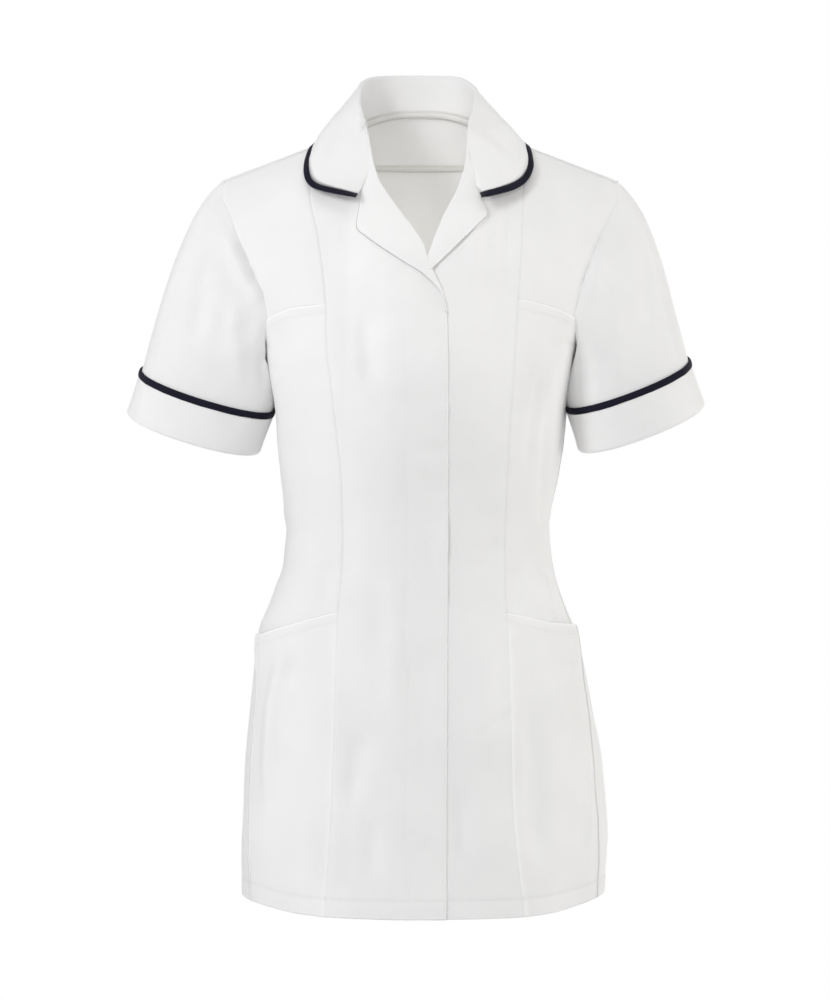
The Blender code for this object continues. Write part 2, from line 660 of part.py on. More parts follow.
def back_column(x_top, side):
    """One column of the back: over the ridge or from the neck edge, then to the hem."""
    sign = sign_of(side)
    on_shoulder = x_top in SHOULDER_COLUMNS
    if on_shoulder:
        start = over_ridge(x_top, BACK_OVER[-1])
    else:
        start = float(neck_height(x_top)) - NECK_DROP[-1]
    own = abs(float(angle_at(sign * x_top, start)))
    share = own / (180.0 - float(outer_angle(start, side, "back")))
    if x_top == BACK_X[-1]:
        share = 1.0
    points, normals = [], []
    if on_shoulder:
        reach = float(body(sign * (180.0 - own), start)[1]) / BACK_OVER[-1]
        for y in BACK_OVER:
            z = over_ridge(x_top, y)
            near = 1.0 + (reach - 1.0) * max(0.0, y / BACK_OVER[-1])
            points.append((sign * x_top, y * near, z))
            normals.append(ridge_normal(sign * x_top, y))
    else:
        for drop in NECK_DROP:
            z = float(neck_height(x_top)) - drop
            span = 180.0 - float(outer_angle(z, side, "back"))
            angle = (sign if x_top > 0 else 1.0) * (180.0 - share * span)
            points.append(tuple(body(angle, z)))
            normals.append(body_normal(angle, z))
    zs = rows_below(start)[1:]
    span = 180.0 - outer_angle(zs, side, "back")
    gap = degrees_of(SEAM_GAP / 2, zs) if x_top == BACK_X[-1] else 0.0
    gap = gap * ramp(zs, ARMHOLE_TURN[0], UNDERARM_Z)
    angle = (sign if x_top > 0 else 1.0) * (180.0 - share * span + gap)
    zs = np.where(zs == HEM_Z, hem_height(angle), zs)
    return (np.concatenate([np.array(points), body(angle, zs)]),
            np.concatenate([np.array(normals), body_normal(angle, zs)]))


def back():
    columns = [back_column(x, "right") for x in reversed(BACK_X)]
    columns += [back_column(x, "left") for x in BACK_X[1:]]
    grid = np.stack([column[0] for column in columns], axis=1)
    normal = np.stack([column[1] for column in columns], axis=1)
    shell = cloth("back", grid, WALL, WHITE, normal=normal)
    return grid, shell


def back_facing():
    """Inside the back neck: follows the back's own neck edge, one layer further in."""
    shares = np.linspace(-1.0, 1.0, FACING_COLUMNS)
    rows, normals = [], []
    for t in np.linspace(0.0, 1.0, FACING_ROWS):
        row, tilt = [], []
        for share in shares:
            x = share * (FACING_HALF - FACING_TAPER * (1.0 - t))
            top = float(neck_height(x)) - FACING_DROP
            z = top + (FACING_BOTTOM_Z - top) * t
            turn = 180.0 - abs(float(angle_at(x, z)))
            row.append(body(math.copysign(turn, share), z))
            tilt.append(body_normal(math.copysign(turn, share), z))
        rows.append(row)
        normals.append(tilt)
    facing = np.array(rows)
    sunk = np.full(facing.shape[:2], -(WALL + FACING_GAP))
    return cloth("back_facing", facing, WALL, WHITE, raise_by=sunk, normal=np.array(normals))


# ---- sleeves, cuffs and their bindings --------------------------------------------------------
def ring_point(side, which, turn, grow=0.0):
    """Point of a sleeve ring: turn 0 is the outer side, 90 the front, 180 the inner."""
    ring = dict(zip(RING_COLUMNS, SLEEVE_RINGS[side][which]))
    tilt = math.radians(RING_TILT[side])
    sign = sign_of(side)
    across = np.array([sign * math.cos(tilt), 0.0, math.sin(tilt)])
    forward = np.array([0.0, -1.0, -RING_FRONT_DROP])
    turn = np.radians(np.asarray(turn, float))
    c, s = np.cos(turn), np.sin(turn)
    c = np.sign(c) * np.abs(c) ** RING_POWER
    s = np.sign(s) * np.abs(s) ** RING_POWER
    centre = np.array([sign * ring["x"], ring["y"], ring["z"]])
    wide = (ring["half_width"] + grow) * c
    deep = (ring["half_depth"] + grow) * s
    return centre + wide[..., None] * across + deep[..., None] * forward


def armhole_loop(side, upper, back_grid):
    """The armhole's points, from the shoulder seam back, under the arm and up the front."""
    over = len(BACK_OVER)
    column = back_grid[:, 0] if side == "right" else back_grid[:, -1]
    behind = column[:over + len(UPPER_ROWS) - 2]
    before = upper[:len(UPPER_ROWS), -1]
    return np.concatenate([behind, before[::-1]])


def sleeve(side, upper, back_grid):
    sign = sign_of(side)
    loop = armhole_loop(side, upper, back_grid)
    low = int(np.argmin(loop[:, 2]))
    ridge_at = len(BACK_OVER) // 2
    length = np.linalg.norm(np.diff(np.vstack([loop, loop[:1]]), axis=0), axis=1)
    run = np.concatenate([[0.0], np.cumsum(length)])
    whole = run[-1]
    behind = (run[low] - run[ridge_at])
    turn = np.zeros(len(loop))
    for k in range(len(loop)):
        if ridge_at <= k <= low:
            turn[k] = -180.0 * (run[k] - run[ridge_at]) / behind
        else:
            ahead = (run[k] - run[low]) if k > low else (run[k] + whole - run[low])
            turn[k] = 180.0 - 180.0 * ahead / (whole - behind)
    # direction away from the body, in the cloth's own surface
    away = loop - np.array(ARMHOLE_CENTRE) * [sign, 1, 1]
    away[:, 0] = 0.0
    away /= np.linalg.norm(away, axis=1, keepdims=True)
    height = ramp(loop[:, 2], *ARMHOLE_TURN)
    start = loop.copy()
    start[:, 0] += sign * SLEEVE_HEAD_GAP * (1 - height)
    start += np.array([sign * SLEEVE_STEP, 0.0, -1.0]) * height[:, None]
    out = np.array(SLEEVE_TOP_PULL) * [sign, 1, 1]
    down = np.array(SLEEVE_LOW_PULL) * [sign, 1, 1]
    pull = out * (1 - height)[:, None] * SLEEVE_PULL[0] + down * height[:, None] * SLEEVE_PULL[1]
    pull += away * [[0.0, SLEEVE_SPREAD, 0.0]] * (1 - height)[:, None]
    end = ring_point(side, BINDING_RING, turn)
    final = ring_point(side, CUFF_END_RING, turn) - end
    final *= SLEEVE_END_PULL / np.linalg.norm(final, axis=1, keepdims=True)
    rows = []
    for t in SLEEVE_ROWS:
        rows.append((2 * t ** 3 - 3 * t ** 2 + 1) * start + (t ** 3 - 2 * t ** 2 + t) * pull
                    + (3 * t ** 2 - 2 * t ** 3) * end + (t ** 3 - t ** 2) * final)
    cuff_top = ring_point(side, CUFF_RING, turn)
    cuff_end = ring_point(side, CUFF_END_RING, turn)
    tube = np.stack(rows + [cuff_top, cuff_top + (cuff_end - cuff_top) * SLEEVE_IN_CUFF])
    flip = side == "left"
    cloth("sleeve_" + side, tube, WALL, WHITE, closed=True, flip=flip)
    upper_edge = ring_point(side, CUFF_RING, turn, LAYER)
    lower_edge = ring_point(side, CUFF_END_RING, turn, LAYER)
    cuff = np.stack([upper_edge + (lower_edge - upper_edge) * t for t in CUFF_DROP_SHARE])
    cloth("cuff_" + side, cuff, WALL, WHITE, closed=True, flip=flip)
    top_edge = ring_point(side, BINDING_RING, turn, LAYER + BINDING_RAISE)
    gap = 1.25 * SEAM_GAP / TRIM_WIDTH
    join = ring_point(side, CUFF_RING, turn, LAYER + BINDING_RAISE)
    band = np.stack([top_edge, join + (top_edge - join) * gap])
    cloth("cuff_trim_" + side, band, WALL, NAVY, closed=True, flip=flip)
    return tube


# ---- collar and lapels ---------------------------------------------------------------------------
def collar_lines():
    """Neck, roll and outer lines of the collar from the right notch round to the left."""
    lines = []
    for k in range(len(COLLAR_LINES)):
        right = [row[k] for row in reversed(COLLAR["right"])]
        left = [row[k] for row in COLLAR["left"]]
        lines.append(np.array(right + [COLLAR_CENTRE[k]] + left))
    return lines


def collar_stand():
    neck, roll, _outer = collar_lines()
    shares = np.linspace(*STAND_ENDS, STAND_POINTS)
    low = through(neck, shares)
    high = through(roll, shares)
    down = (low - high) / np.linalg.norm(low - high, axis=1, keepdims=True)
    high = high + down * STAND_DROP
    grid = np.stack([high + (low - high) * t for t in STAND_SHARES])
    return cloth("collar_stand", grid, WALL, WHITE, flip=True)


def fall_grid(tree):
    """The collar's fall, from the roll line or gorge out to its bound edge."""
    shares = np.linspace(0.0, 1.0, FALL_POINTS)
    _neck, roll, outer = collar_lines()
    right = list(reversed(GORGE["right"]))
    left = list(GORGE["left"])
    inner_line = np.array([row[0] for row in right] + list(roll) + [row[0] for row in left])
    outer_line = np.array([row[1] for row in right] + list(outer) + [row[1] for row in left])
    count = len(inner_line)
    knots = np.arange(count) / (count - 1)
    inner_at = np.stack([curve(knots, inner_line[:, k], shares) for k in range(3)], axis=-1)
    outer_at = np.stack([curve(knots, outer_line[:, k], shares) for k in range(3)], axis=-1)
    across = outer_at - inner_at
    along = np.gradient(inner_at, axis=0) + np.gradient(outer_at, axis=0)
    normal = np.cross(along, across)
    normal /= np.linalg.norm(normal, axis=1, keepdims=True)
    normal *= np.where(normal[:, 2:3] < 0, -1.0, 1.0)
    folded = ramp(np.minimum(shares, 1 - shares), *FOLD_SHARES)[:, None]
    level = across * [[1.0, 1.0, 0.0]]
    level /= np.linalg.norm(level, axis=1, keepdims=True)
    out, up = FOLD[-1]
    start = inner_at + folded * (level * out + [[0.0, 0.0, up]])
    grid = []
    for out, up in FOLD[:-1]:
        low = inner_at + across * FOLD_LEAN * len(grid)
        grid.append(folded * (inner_at + level * out + [[0.0, 0.0, up]]) + (1 - folded) * low)
    width = np.linalg.norm(outer_at - start, axis=1, keepdims=True)
    bound = np.minimum(TRIM_WIDTH, 0.5 * width) / width
    cut = bound + 2.6 * SEAM_GAP / width
    steps = [(1.0 - cut) * np.maximum(t, FALL_LEAN * (1 - folded)) for t in FALL_SHARES]
    for t in steps + [1.0 - bound, np.ones_like(width)]:
        bulge = FALL_BULGE * np.sin(math.pi * t)
        grid.append(start + (outer_at - start) * t + normal * bulge)
    return lift(np.array(grid), tree, DOUBLE_WALL + LAYER_GAP + FALL_CLEARANCE)


def collar(tree):
    collar_stand()
    full = fall_grid(tree)
    normal = grid_normals(full, False)
    normal[-3] = normal[-2]
    cloth("collar_trim", full[-2:], DOUBLE_WALL, NAVY, normal=normal[-2:])
    cloth("collar_fall", full[:-2], DOUBLE_WALL, WHITE, normal=normal[:-2])


def lapel(side, tree):
    roll = np.array([row[LAPEL_LINES.index("roll")] for row in LAPEL[side]])
    edge = np.array([row[LAPEL_LINES.index("edge")] for row in LAPEL[side]])
    knots = np.arange(len(roll)) / (len(roll) - 1)
    shares = np.linspace(0.0, 1.0, 2 * len(roll) - 1)
    roll_at = np.stack([curve(knots, roll[:, k], shares) for k in range(3)], axis=-1)
    edge_at = np.stack([np.interp(shares, knots, edge[:, k]) for k in range(3)], axis=-1)
    grid = np.stack([roll_at + (edge_at - roll_at) * t for t in LAPEL_SHARES])
    for line, share in zip(grid, LAPEL_SHARES):
        height = DOUBLE_WALL + LAPEL_CLEARANCE + LAPEL_SPRING * share
        line[:] = settle(line, tree, height)
    return cloth("lapel_" + side, grid, DOUBLE_WALL, WHITE, flip=side == "right")


def studs(under):
    """Press studs between the two fronts, each flat on the under front's face."""
    for number, z in enumerate(STUD_Z, start=1):
        ahead = Vector((STUD_X, -AHEAD, z))
        place, face_normal, _index, _distance = under.ray_cast(ahead, Vector((0.0, 1.0, 0.0)))
        normal = np.array(face_normal)
        along = np.cross(normal, (0.0, 0.0, 1.0))
        along /= np.linalg.norm(along)
        up = np.cross(normal, along)
        low = np.array(place) + normal * STUD_GAP
        points = []
        for level in (0.0, STUD_HEIGHT):
            for k in range(STUD_SIDES):
                turn = 2 * math.pi * k / STUD_SIDES
                edge = math.cos(turn) * along + math.sin(turn) * up
                points.append(low + normal * level + STUD_RADIUS * edge)
        n = STUD_SIDES
        faces = [list(range(n))[::-1], list(range(n, 2 * n))]
        faces += [[k, (k + 1) % n, n + (k + 1) % n, n + k] for k in range(n)]
        triangles = []
        for face in faces:
            triangles += [[face[0], face[k], face[k + 1]] for k in range(1, len(face) - 1)]
        solid("press_stud_%d" % number, points, triangles, STEEL, rough=0.35, metal=1.0)


def tree_of(shells):
    points, faces = [], []
    for shell_points, shell_faces in shells:
        base = len(points)
        points += [Vector(p) for p in shell_points]
        faces += [tuple(base + k for k in face) for face in shell_faces]
    return BVHTree.FromPolygons(points, faces)


def main():
    for thing in list(bpy.data.objects):
        bpy.data.objects.remove(thing, do_unlink=True)
    shells = []
    uppers = {}
    fronts = {}
    for side in ("right", "left"):
        fronts[side] = front(side)
        shells.append(fronts[side])
        uppers[side], pieces = side_front(side)
        shells += pieces
    back_grid, shell = back()
    shells.append(shell)
    back_facing()
    for side in ("right", "left"):
        sleeve(side, uppers[side], back_grid)
    tree = tree_of(shells)
    for side in ("right", "left"):
        lapel(side, tree)
    collar(tree)
    studs(tree_of([fronts["left"]]))


main()
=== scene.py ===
"""Looks of the medical tunic: thin cloth shells on the form that the CAD pieces have.

Lengths are in millimetres until a mesh is made.  +Z is up and the front faces -Y.
"Right" and "left" are the wearer's: right is -X, left is +X.
"""

import math

import bpy
import numpy as np
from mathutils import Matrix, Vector
from mathutils.bvhtree import BVHTree


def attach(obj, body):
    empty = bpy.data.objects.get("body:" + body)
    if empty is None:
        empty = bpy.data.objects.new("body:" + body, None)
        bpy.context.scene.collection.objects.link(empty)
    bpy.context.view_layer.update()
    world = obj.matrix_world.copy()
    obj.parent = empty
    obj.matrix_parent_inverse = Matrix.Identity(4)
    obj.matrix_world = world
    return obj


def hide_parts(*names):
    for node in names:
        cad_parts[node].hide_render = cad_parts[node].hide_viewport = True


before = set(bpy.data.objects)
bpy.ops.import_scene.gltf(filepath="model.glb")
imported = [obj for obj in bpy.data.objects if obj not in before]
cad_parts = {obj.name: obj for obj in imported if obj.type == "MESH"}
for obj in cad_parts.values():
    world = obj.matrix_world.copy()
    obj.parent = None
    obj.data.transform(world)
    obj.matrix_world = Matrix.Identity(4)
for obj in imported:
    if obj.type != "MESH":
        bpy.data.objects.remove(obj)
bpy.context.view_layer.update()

MM = 0.001


def table(columns, *rows):
    """The columns of a table, by their names."""
    return dict(zip(columns.split(), np.array(rows, float).T))


# ---- cloth ----
CLOTH = 0.8            # one layer
TWO_LAYERS = 1.4       # collar, lapels, cuffs
TUCK = 4.0             # a piece reaches this far under its neighbour at a seam
TUCK_DEPTH = 1.2
SEAM_ROLL = 0.32       # how far cloth dips at a seam
SEAM_ROLL_WIDTH = 1.0
SIDE_SEAM_ROLL = 0.12
SEAM_WIDTH = 1.5       # half width of the painted shade along a seam or stitch line
CREASE_HEIGHT = 2.3    # scale of all laid creases
RIM_BULGE = 0.45       # a wall's edge bulges by this share of its thickness

# ---- body: the same sections as the solids ----
HEM_Z = -748.0
UNDERARM_Z = -212.0
NECK_POINT_X = 67.0    # shoulder-neck point, from the centre line
SHOULDER_SLOPE = 0.382
NECK_RISE = (2.0, 0.013)    # the ridge climbs to the neck: slope, and how it eases
SEAM_FORWARD = 4.0     # the shoulder seam lies forward of the ridge
SHOULDER_GAP = 0.3     # the fronts end this far short of it
SHOULDER_TUCK = TUCK * 0.7    # and their first row goes this far under the back
SHOULDER_SEAM = 2.4    # width of its dip
SQUARE = 2.4           # roundness of the rings: 2 is an ellipse
RIDGE_FRONT = (3.2, 0.68)   # depth = a * (drop below the ridge) ** b
RIDGE_BACK = (9.0, 0.5)
SOFT_MIN = 5.0
NORMAL_STEP = 0.6      # step used to measure the surface's slope
RIDGE_DEPTH = 12.0     # the rings' widths are read this far below the ridge
BUST_FULLNESS = 6.0
BUST_X = 75.0
BUST_Z = -240.0
BUST_SPREAD = 48.0
CALM_TOP = (-30.0, -70.0)   # creases fade out over these heights
# how far the first two rows of a panel sink, at the shoulder seam and at the back's top edge
SHOULDER_SUNK = np.array([[1.3], [0.4]])
NECK_SUNK = np.array([[0.55], [0.2]])

# rings of the body: half widths, and depths in front of and behind the shoulder ridge
SECTIONS = table(
    "z half_right half_left front back",
    (30, 240, 240, 28, 63),
    (0, 236, 236, 38, 70),
    (-47, 222, 222, 56, 84),
    (-100, 200, 200, 75, 95),
    (-150, 178, 178, 92, 101),
    (-212, 153, 152, 112, 103),
    (-245, 145.5, 144, 120, 101),
    (-274, 141, 139.5, 118, 98),
    (-311, 138, 136, 111, 91),
    (-359, 132.5, 129.5, 102, 83),
    (-389, 130, 126, 99, 81),
    (-418, 132.5, 128, 99, 84),
    (-457, 146, 139, 102, 96),
    (-486, 157, 151, 107, 108),
    (-554, 165, 166, 114, 121),
    (-632, 171, 176, 118, 126),
    (-700, 173, 181, 120, 127),
    (-750, 172, 179, 120, 127),
)
# distance of the princess seams from the centre line
PRINCESS = table(
    "z right left",
    (0, 110, 102), (-66, 106, 98.5), (-110, 97, 96.5), (-170, 89.5, 92.5), (-240, 85, 88),
    (-300, 78, 83.5), (-345, 74, 81.5), (-400, 73, 79.5), (-465, 77.5, 81.5),
    (-540, 79.5, 84.5), (-640, 82.5, 86.5), (-700, 86, 91.5), (-746, 89, 97),
)
# distance of the armhole edge from the centre line, front and back
ARMHOLE = table(
    "z front back",
    (-40, 190, 190), (-66, 189.8, 190), (-78, 184.5, 187.5), (-101, 176, 181),
    (-131, 163, 172), (-165, 150.5, 161), (-184, 146.5, 155), (-200, 147.5, 152),
    (-208, 150.3, 152.3), (-212, 153, 153),
)
# ring angle of the side seam, 90 is the very side and less is forward
SIDE_SEAM = table(
    "z angle",
    (-212, 90), (-300, 88), (-390, 86), (-450, 80), (-490, 74), (-560, 70), (-746, 67),
)
# inner edges of the two fronts: neck edge above the break, front edge below
FRONT_EDGE = table(
    "z right left",
    (-8, -66, 66), (-14, -58, 58), (-28, -52, 51), (-53, -45, 43), (-82, -27, 31),
    (-110, -6, 17), (-137, 9, 1), (-161, 20, -20), (-184, 25, -24), (-250, 26, -24),
    (-746, 24, -24),
)
# neck edge of the back
NECK_EDGE = table("x z", (0, 25), (20, 24), (41, 18.5), (55, 11), (62, 5), (66, -1))

# ---- hems, pockets, placket ----
HEM_DEPTH = 17.0       # stitch line above the hem's edge
HEM_STEP = 0.35        # the hem is two more layers
HEM_GROOVE = (0.5, 1.3)     # depth and half width of its stitch line
HEM_REACH = 90.0       # rows this far above the hem begin to follow its edge
# rise of the hem round the body from centre front
HEM_EDGE = table(
    "angle right left",
    (0, 0, 0), (22, 0.4, 0.2), (38, 2.2, 2), (52, 5.6, 6.5), (66, 7.4, 10), (90, 8, 12),
    (130, 8, 11), (180, 8, 8),
)
# pocket mouths in the side fronts, as distance from the centre line and height
CHEST_MOUTH = {
    "right": table("x z", (80, -173), (89, -174), (121.6, -176.5), (147.7, -186.6)),
    "left": table("x z", (80, -167), (92, -168.7), (114, -173), (131, -177.6), (153.4, -187)),
}
HIP_MOUTH = {
    "right": table("x z", (60, -460), (77.7, -463.5), (122.5, -476.6), (157, -490.9)),
    "left": table("x z", (60, -460), (81.9, -464.4), (117.2, -473.6), (149.1, -482.4),
                  (155, -489.6)),
}
MOUTH_HEM = 9.0        # stitch line below a pocket mouth's edge
MOUTH_STEPS = np.array([0.0, 0.7, 1.6, 3.0, 5.0, 7.0, 8.2, 9.0, 9.8, 11.0, 14.0, 17.0, 20.0])
MOUTH_STITCHES = 7     # the step that lies on the stitch line
MOUTH_RAISE = (0.25, 0.3)    # height of the mouth's hem at its ends, and how much more between
MOUTH_GROOVE = (0.2, 1.2)    # depth and half width of its stitch line
MOUTH_ROLL = (0.45, 0.9)     # its edge rounds off: depth and reach
MOUTH_PAINTED_SHADE_AND_HIGHLIGHT = ((0.4, MOUTH_HEM, 1.4), (-1.0, 0.5, 1.2))    # painted shade on the stitch line, painted highlight on the edge: strength, place, half width
BELOW_CHEST_MOUTH = -245.0     # rows are level from these heights down
BELOW_HIP_MOUTH = -540.0
CHEST_BAG_Z = -250.0
HIP_BAG_Z = -560.0
BEHIND_MOUTH = 0.5     # the panel behind a pocket mouth dips this far
CHEST_FLARE = 0.8      # the pockets' outer corners stand off
HIP_FLARE = {"right": 4.0, "left": 4.5}
# how far the overlapping front stands off the other one, across and down its edge
PLACKET = table("x raise", (-66, 0), (-42, 1.1), (-27, 2.6), (-9, 2.9), (8, 2.1), (30, 0.9))
EDGE_RIPPLE = table(
    "z raise",
    (-150, 0), (-225, 0.2), (-268, 0), (-274, 1.3), (-282, 0.1), (-330, 0), (-372, 0.6),
    (-384, 1.7), (-404, 1.9), (-425, 0.9), (-446, 1.4), (-466, 0.5), (-500, 0), (-560, 0.4),
    (-640, 0.1), (-748, 0.5),
)
PLACKET_TOP = (-118.0, -150.0)      # it begins over these heights
PLACKET_SEAM_X = -13.5     # the fly's stitch line, right of the front edge
PLACKET_GROOVE = (0.45, 1.5)    # its depth and half width
PLACKET_MIDDLE_X = 8.0
PLACKET_CALM = (-300.0, -560.0)     # its ripples fade over these heights
UNDER_SUNK = 0.7           # the other front sinks under it, over this stretch
UNDER_EDGE = (22.0, 8.0)
DOUBLE_EDGE = (16.0, 8.0)  # the fronts are two layers thick this near their edge
LOW_HALF = (-455.0, -490.0)    # below these heights the princess seam is a folded edge
FOLDED_EDGE = (0.7, 1.8, 1.2)  # its height, its place beside the seam and its half width
# painted highlight along the folded edge beside the princess seam: strength, place, half width
FOLDED_PAINTED_HIGHLIGHT = (0.75, 1.2, 1.1)
FLY_TOP_Z = -190.0

# ---- sleeves ----
# rings at the binding's upper edge, the cuff's upper edge and the cuff's lower edge
BINDING_RING, CUFF_RING, CUFF_END_RING = 0, 1, 2
SLEEVE_RINGS = {
    "right": table("x y z half_width half_depth", (206.8, 3, -250.5, 66.8, 41),
                   (208.5, 3, -257, 66.8, 41.5), (221, 4, -292, 65.7, 43)),
    "left": table("x y z half_width half_depth", (202, 3, -243.5, 63.2, 41),
                  (203.7, 3, -250, 63.3, 41.5), (215.8, 4, -287, 63.7, 43)),
}
RING_POWER = 0.92          # 1 is an ellipse, less is squarer
RING_TILT = {"right": 17.0, "left": 20.5}     # degrees, inner side lower
RING_FRONT_DROP = 0.29     # the front of a ring hangs lower
LOOP_POINTS = 150
SLEEVE_LENGTH = 120.0
# how the sleeve leaves the armhole at its top and at the underarm: direction and strength
SLEEVE_TOP_PULL = (0.86, 0.0, -0.5)
UNDERARM_PULL = (0.4, 0.0, -0.9)
SLEEVE_PULL = (150.0, 40.0)
SLEEVE_SPREAD = 22.0       # it widens by this to the front and back
SLEEVE_END_PULL = 120.0    # strength with which it runs into the cuff
SLEEVE_SUNK = 0.5          # the sleeve's head lies this far inside the armhole
SLEEVE_TUCK = (2.6, 0.9)   # its first row goes under the body's panels: along and inward
ARMHOLE_GIRTH = 420.0
ARMHOLE_CENTRE = (150.0, 0.0, -130.0)
ARMHOLE_TURN = (-150.0, -205.0)     # from the top's pull to the underarm's, by height
FOLD_TURN = 36.0           # the pressed fold lies this far round from the outer side
FOLD_HIGH = (1.5, 1.3)     # in front and behind
FOLD_FADE = 7.0            # degrees
FOLD_REACH = (0.3, 0.75)   # it grows over this share of the sleeve
IN_CUFF = (0.0, 0.3, 0.6, 0.93)     # rows of the sleeve inside its cuff
CUFF_LENGTH = 36.0
CUFF_GIRTH = 330.0
CUFF_LIFT = 1.9
CUFF_THICK = 1.5
CUFF_ROUND = (0.9, 0.8)    # the cuff's lower edge rounds off: depth and reach
BINDING_LIFT = 0.5
BINDING_THICK = 0.9
# rows across a binding, as shares of its width, and their heights
BINDING_STEPS = (-0.02, 0.03, 0.1, 0.25, 0.5, 0.75, 0.9, 0.97, 1.02)
BINDING_ARCH = np.array([-1.0, -0.45, 0.0, 0.3, 0.42, 0.3, 0.0, -0.45, -1.0])

# ---- collar and lapels: rows of points (x, y, z) ----
# neck seam, roll line and outer edge, from the centre back past the shoulder
COLLAR_CENTRE = ((0, 54.6, 25.5), (0, 57, 64), (0, 67, 0))
COLLAR = {
    "right": (((-20, 51.5, 24.4), (-20, 54.5, 63.5), (-32, 63, -4)),
              ((-40.5, 42.2, 19.2), (-38, 44, 61), (-58, 49, -10)),
              ((-54.2, 28.9, 11.9), (-50, 29, 56), (-82, 30, -16)),
              ((-61.2, 18, 6.4), (-55.5, 15, 49), (-100.5, 11, -12.5)),
              ((-63.5, 3, 5), (-57, 1, 39.5), (-108.5, -6, -18.5)),
              ((-61, -10, 9), (-57.5, -11, 28), (-112.7, -28, -37))),
    "left": (((20, 51.5, 24.4), (20, 54.5, 63), (32, 63, -4)),
             ((40.5, 42.2, 19.2), (36, 44, 60), (58, 49, -10)),
             ((54.2, 28.9, 11.9), (47, 29, 52), (82, 30, -16)),
             ((61.2, 18, 6.4), (53, 15, 42), (101.5, 11, -12)),
             ((62, 3, 5), (52.5, 1, 30), (107.5, -6, -17.5)),
             ((58, -10, 5), (49.5, -13, 16), (110, -25, -33))),
}
# past the point where the neck seam crosses the roll line: gorge and outer edge
GORGE = {
    "right": (((-55.5, -24, 10), (-111.5, -38, -48)), ((-56.5, -44, -20), (-107, -46, -57.5)),
              ((-56.5, -60, -43), (-92, -58, -65)), ((-58.5, -71, -63), (-62, -73, -71))),
    "left": (((48.5, -26, 2), (108.5, -34, -42)), ((53, -46, -22), (104, -44, -52)),
             ((56, -60, -45), (90, -56, -61.5)), ((58.5, -69, -60), (62, -71, -68.5))),
}
# the collar's front edge reaches this far over the lapel, and its free edge hangs lower
GORGE_PULL = {"right": (2.6, 7.0, 7.5, 3.0), "left": (2.6, 6.1, 5.4, 5.0)}
GORGE_DROP = {"right": (0.0, 0.0, 0.0, 0.8), "left": (0.0, 1.0, 2.5, 3.6)}
DROP_INWARD = 0.85         # shares of that drop that also go inward and forward
DROP_FORWARD = 0.4
GORGE_TUCK = 4.0           # the lapel goes this far under the collar at the gorge seam
GORGE_HEIGHT = 1.0
GORGE_LAID = 0.15
FALL_COLUMNS = 113
FALL_BULGE = 1.8
FALL_STEPS = (0.03, 0.08, 0.14, 0.21, 0.29, 0.37, 0.46, 0.55, 0.64, 0.73, 0.81, 0.88, 0.94)
FALL_STRETCH = 1.04        # brings the last of them close to the binding
FLAT_ROW = 0.0022          # near the collar's ends its first rows lie this share apart
STAND_STEPS = (0.0, 0.1, 0.22, 0.34, 0.46, 0.58, 0.7, 0.82, 0.93)
STAND_TUCK = ((4.2, 3.0), (2.2, 2.4))       # its seam turnings: down and inward
STAND_TOP = 2.6            # the stand ends this far below the roll line
# the roll, outward and up from the roll line
FOLD_ARC = ((-0.5, -2.1), (0.1, -0.8), (1.1, 0.0), (2.5, 0.15), (3.9, -0.6), (4.7, -2.0))
# stretches of the collar, as shares of its length from either end
FOLD_SHARES = (0.09, 0.19)     # here it goes from one flat sheet to stand and fall
GORGE_SHARES = (0.2, 0.08)     # here it comes down onto the lapels
LAID_SHARES = (0.2, 0.13)      # here its roll line comes down onto the fronts
END_SHARES = (0.13, 0.03)      # here its binding widens
# the stand's lower edge is tucked down at its front corners: where, how far along the
# collar, how deep, and how much less with each row
TUCK_SHARE = 0.168
TUCK_SPREAD = 0.044
TUCK_LOW = 6.5
TUCK_FADE = 2.5
COLLAR_CLEARANCE = 0.9
COLLAR_BINDING = 5.5
END_BINDING = {"right": 0.7, "left": 2.2}   # the binding looks wider at the collar's ends
COLLAR_BINDING_THICK = 1.6
COLLAR_BINDING_STEPS = (-0.03, 0.03, 0.1, 0.25, 0.5, 0.75, 0.9, 0.97, 1.01)
COLLAR_BINDING_ARCH = np.array([-0.6, -0.3, 0.0, 0.2, 0.25, 0.2, 0.0, -0.3, -0.6])
COLLAR_BINDING_LIFT = 0.3
# roll line and free edge of the lapels, down to where the right one runs out into the front
# edge and the left one goes under it
LAPEL = {
    "right": (((-54, -27, 4), (-54.6, -28.5, 1)), ((-51, -36, -6), (-54.4, -43, -21)),
              ((-46, -52, -34), (-54.4, -60, -44)), ((-40, -64, -53.5), (-55.8, -73, -66)),
              ((-34, -68, -64), (-57.3, -77, -75)), ((-19, -78, -86), (-61.4, -85, -101.5)),
              ((-9, -83, -99), (-46, -91, -113.5)), ((3, -90, -118), (-22, -97, -130.5)),
              ((9, -95, -136), (0, -99, -144)), ((13.5, -98, -147), (11, -101, -153.5)),
              ((18.5, -100, -156.5), (18, -103, -162)),
              ((22.5, -103, -168), (22.4, -104, -171.5)),
              ((25, -106, -182), (25.2, -106.5, -184))),
    "left": (((47, -34, -9.5), (47.8, -36, -12.5)), ((46, -45, -24), (50.4, -46, -26)),
             ((43, -56, -42), (53.8, -60, -46.5)), ((39, -63, -56), (56, -71, -63.5)),
             ((34, -68, -68), (58, -74, -72)), ((23.5, -78, -88), (64.9, -81, -87)),
             ((18, -83, -101), (51, -87, -101.5)), ((13, -87, -114), (37.3, -92, -115)),
             ((9.5, -90, -124), (24, -95, -128.5)), ((5, -93, -133), (11.5, -97, -141.5)),
             ((0.5, -94, -137), (6.5, -98, -142.5))),
}
LAPEL_GORGE, LAPEL_TIP = 3, 5      # rows where the gorge seam ends and at the lapel's point
LAPEL_BLEND = (0.02, -0.03)        # the gorge seam ends over these shares past and before it
LAPEL_COLUMNS = 34
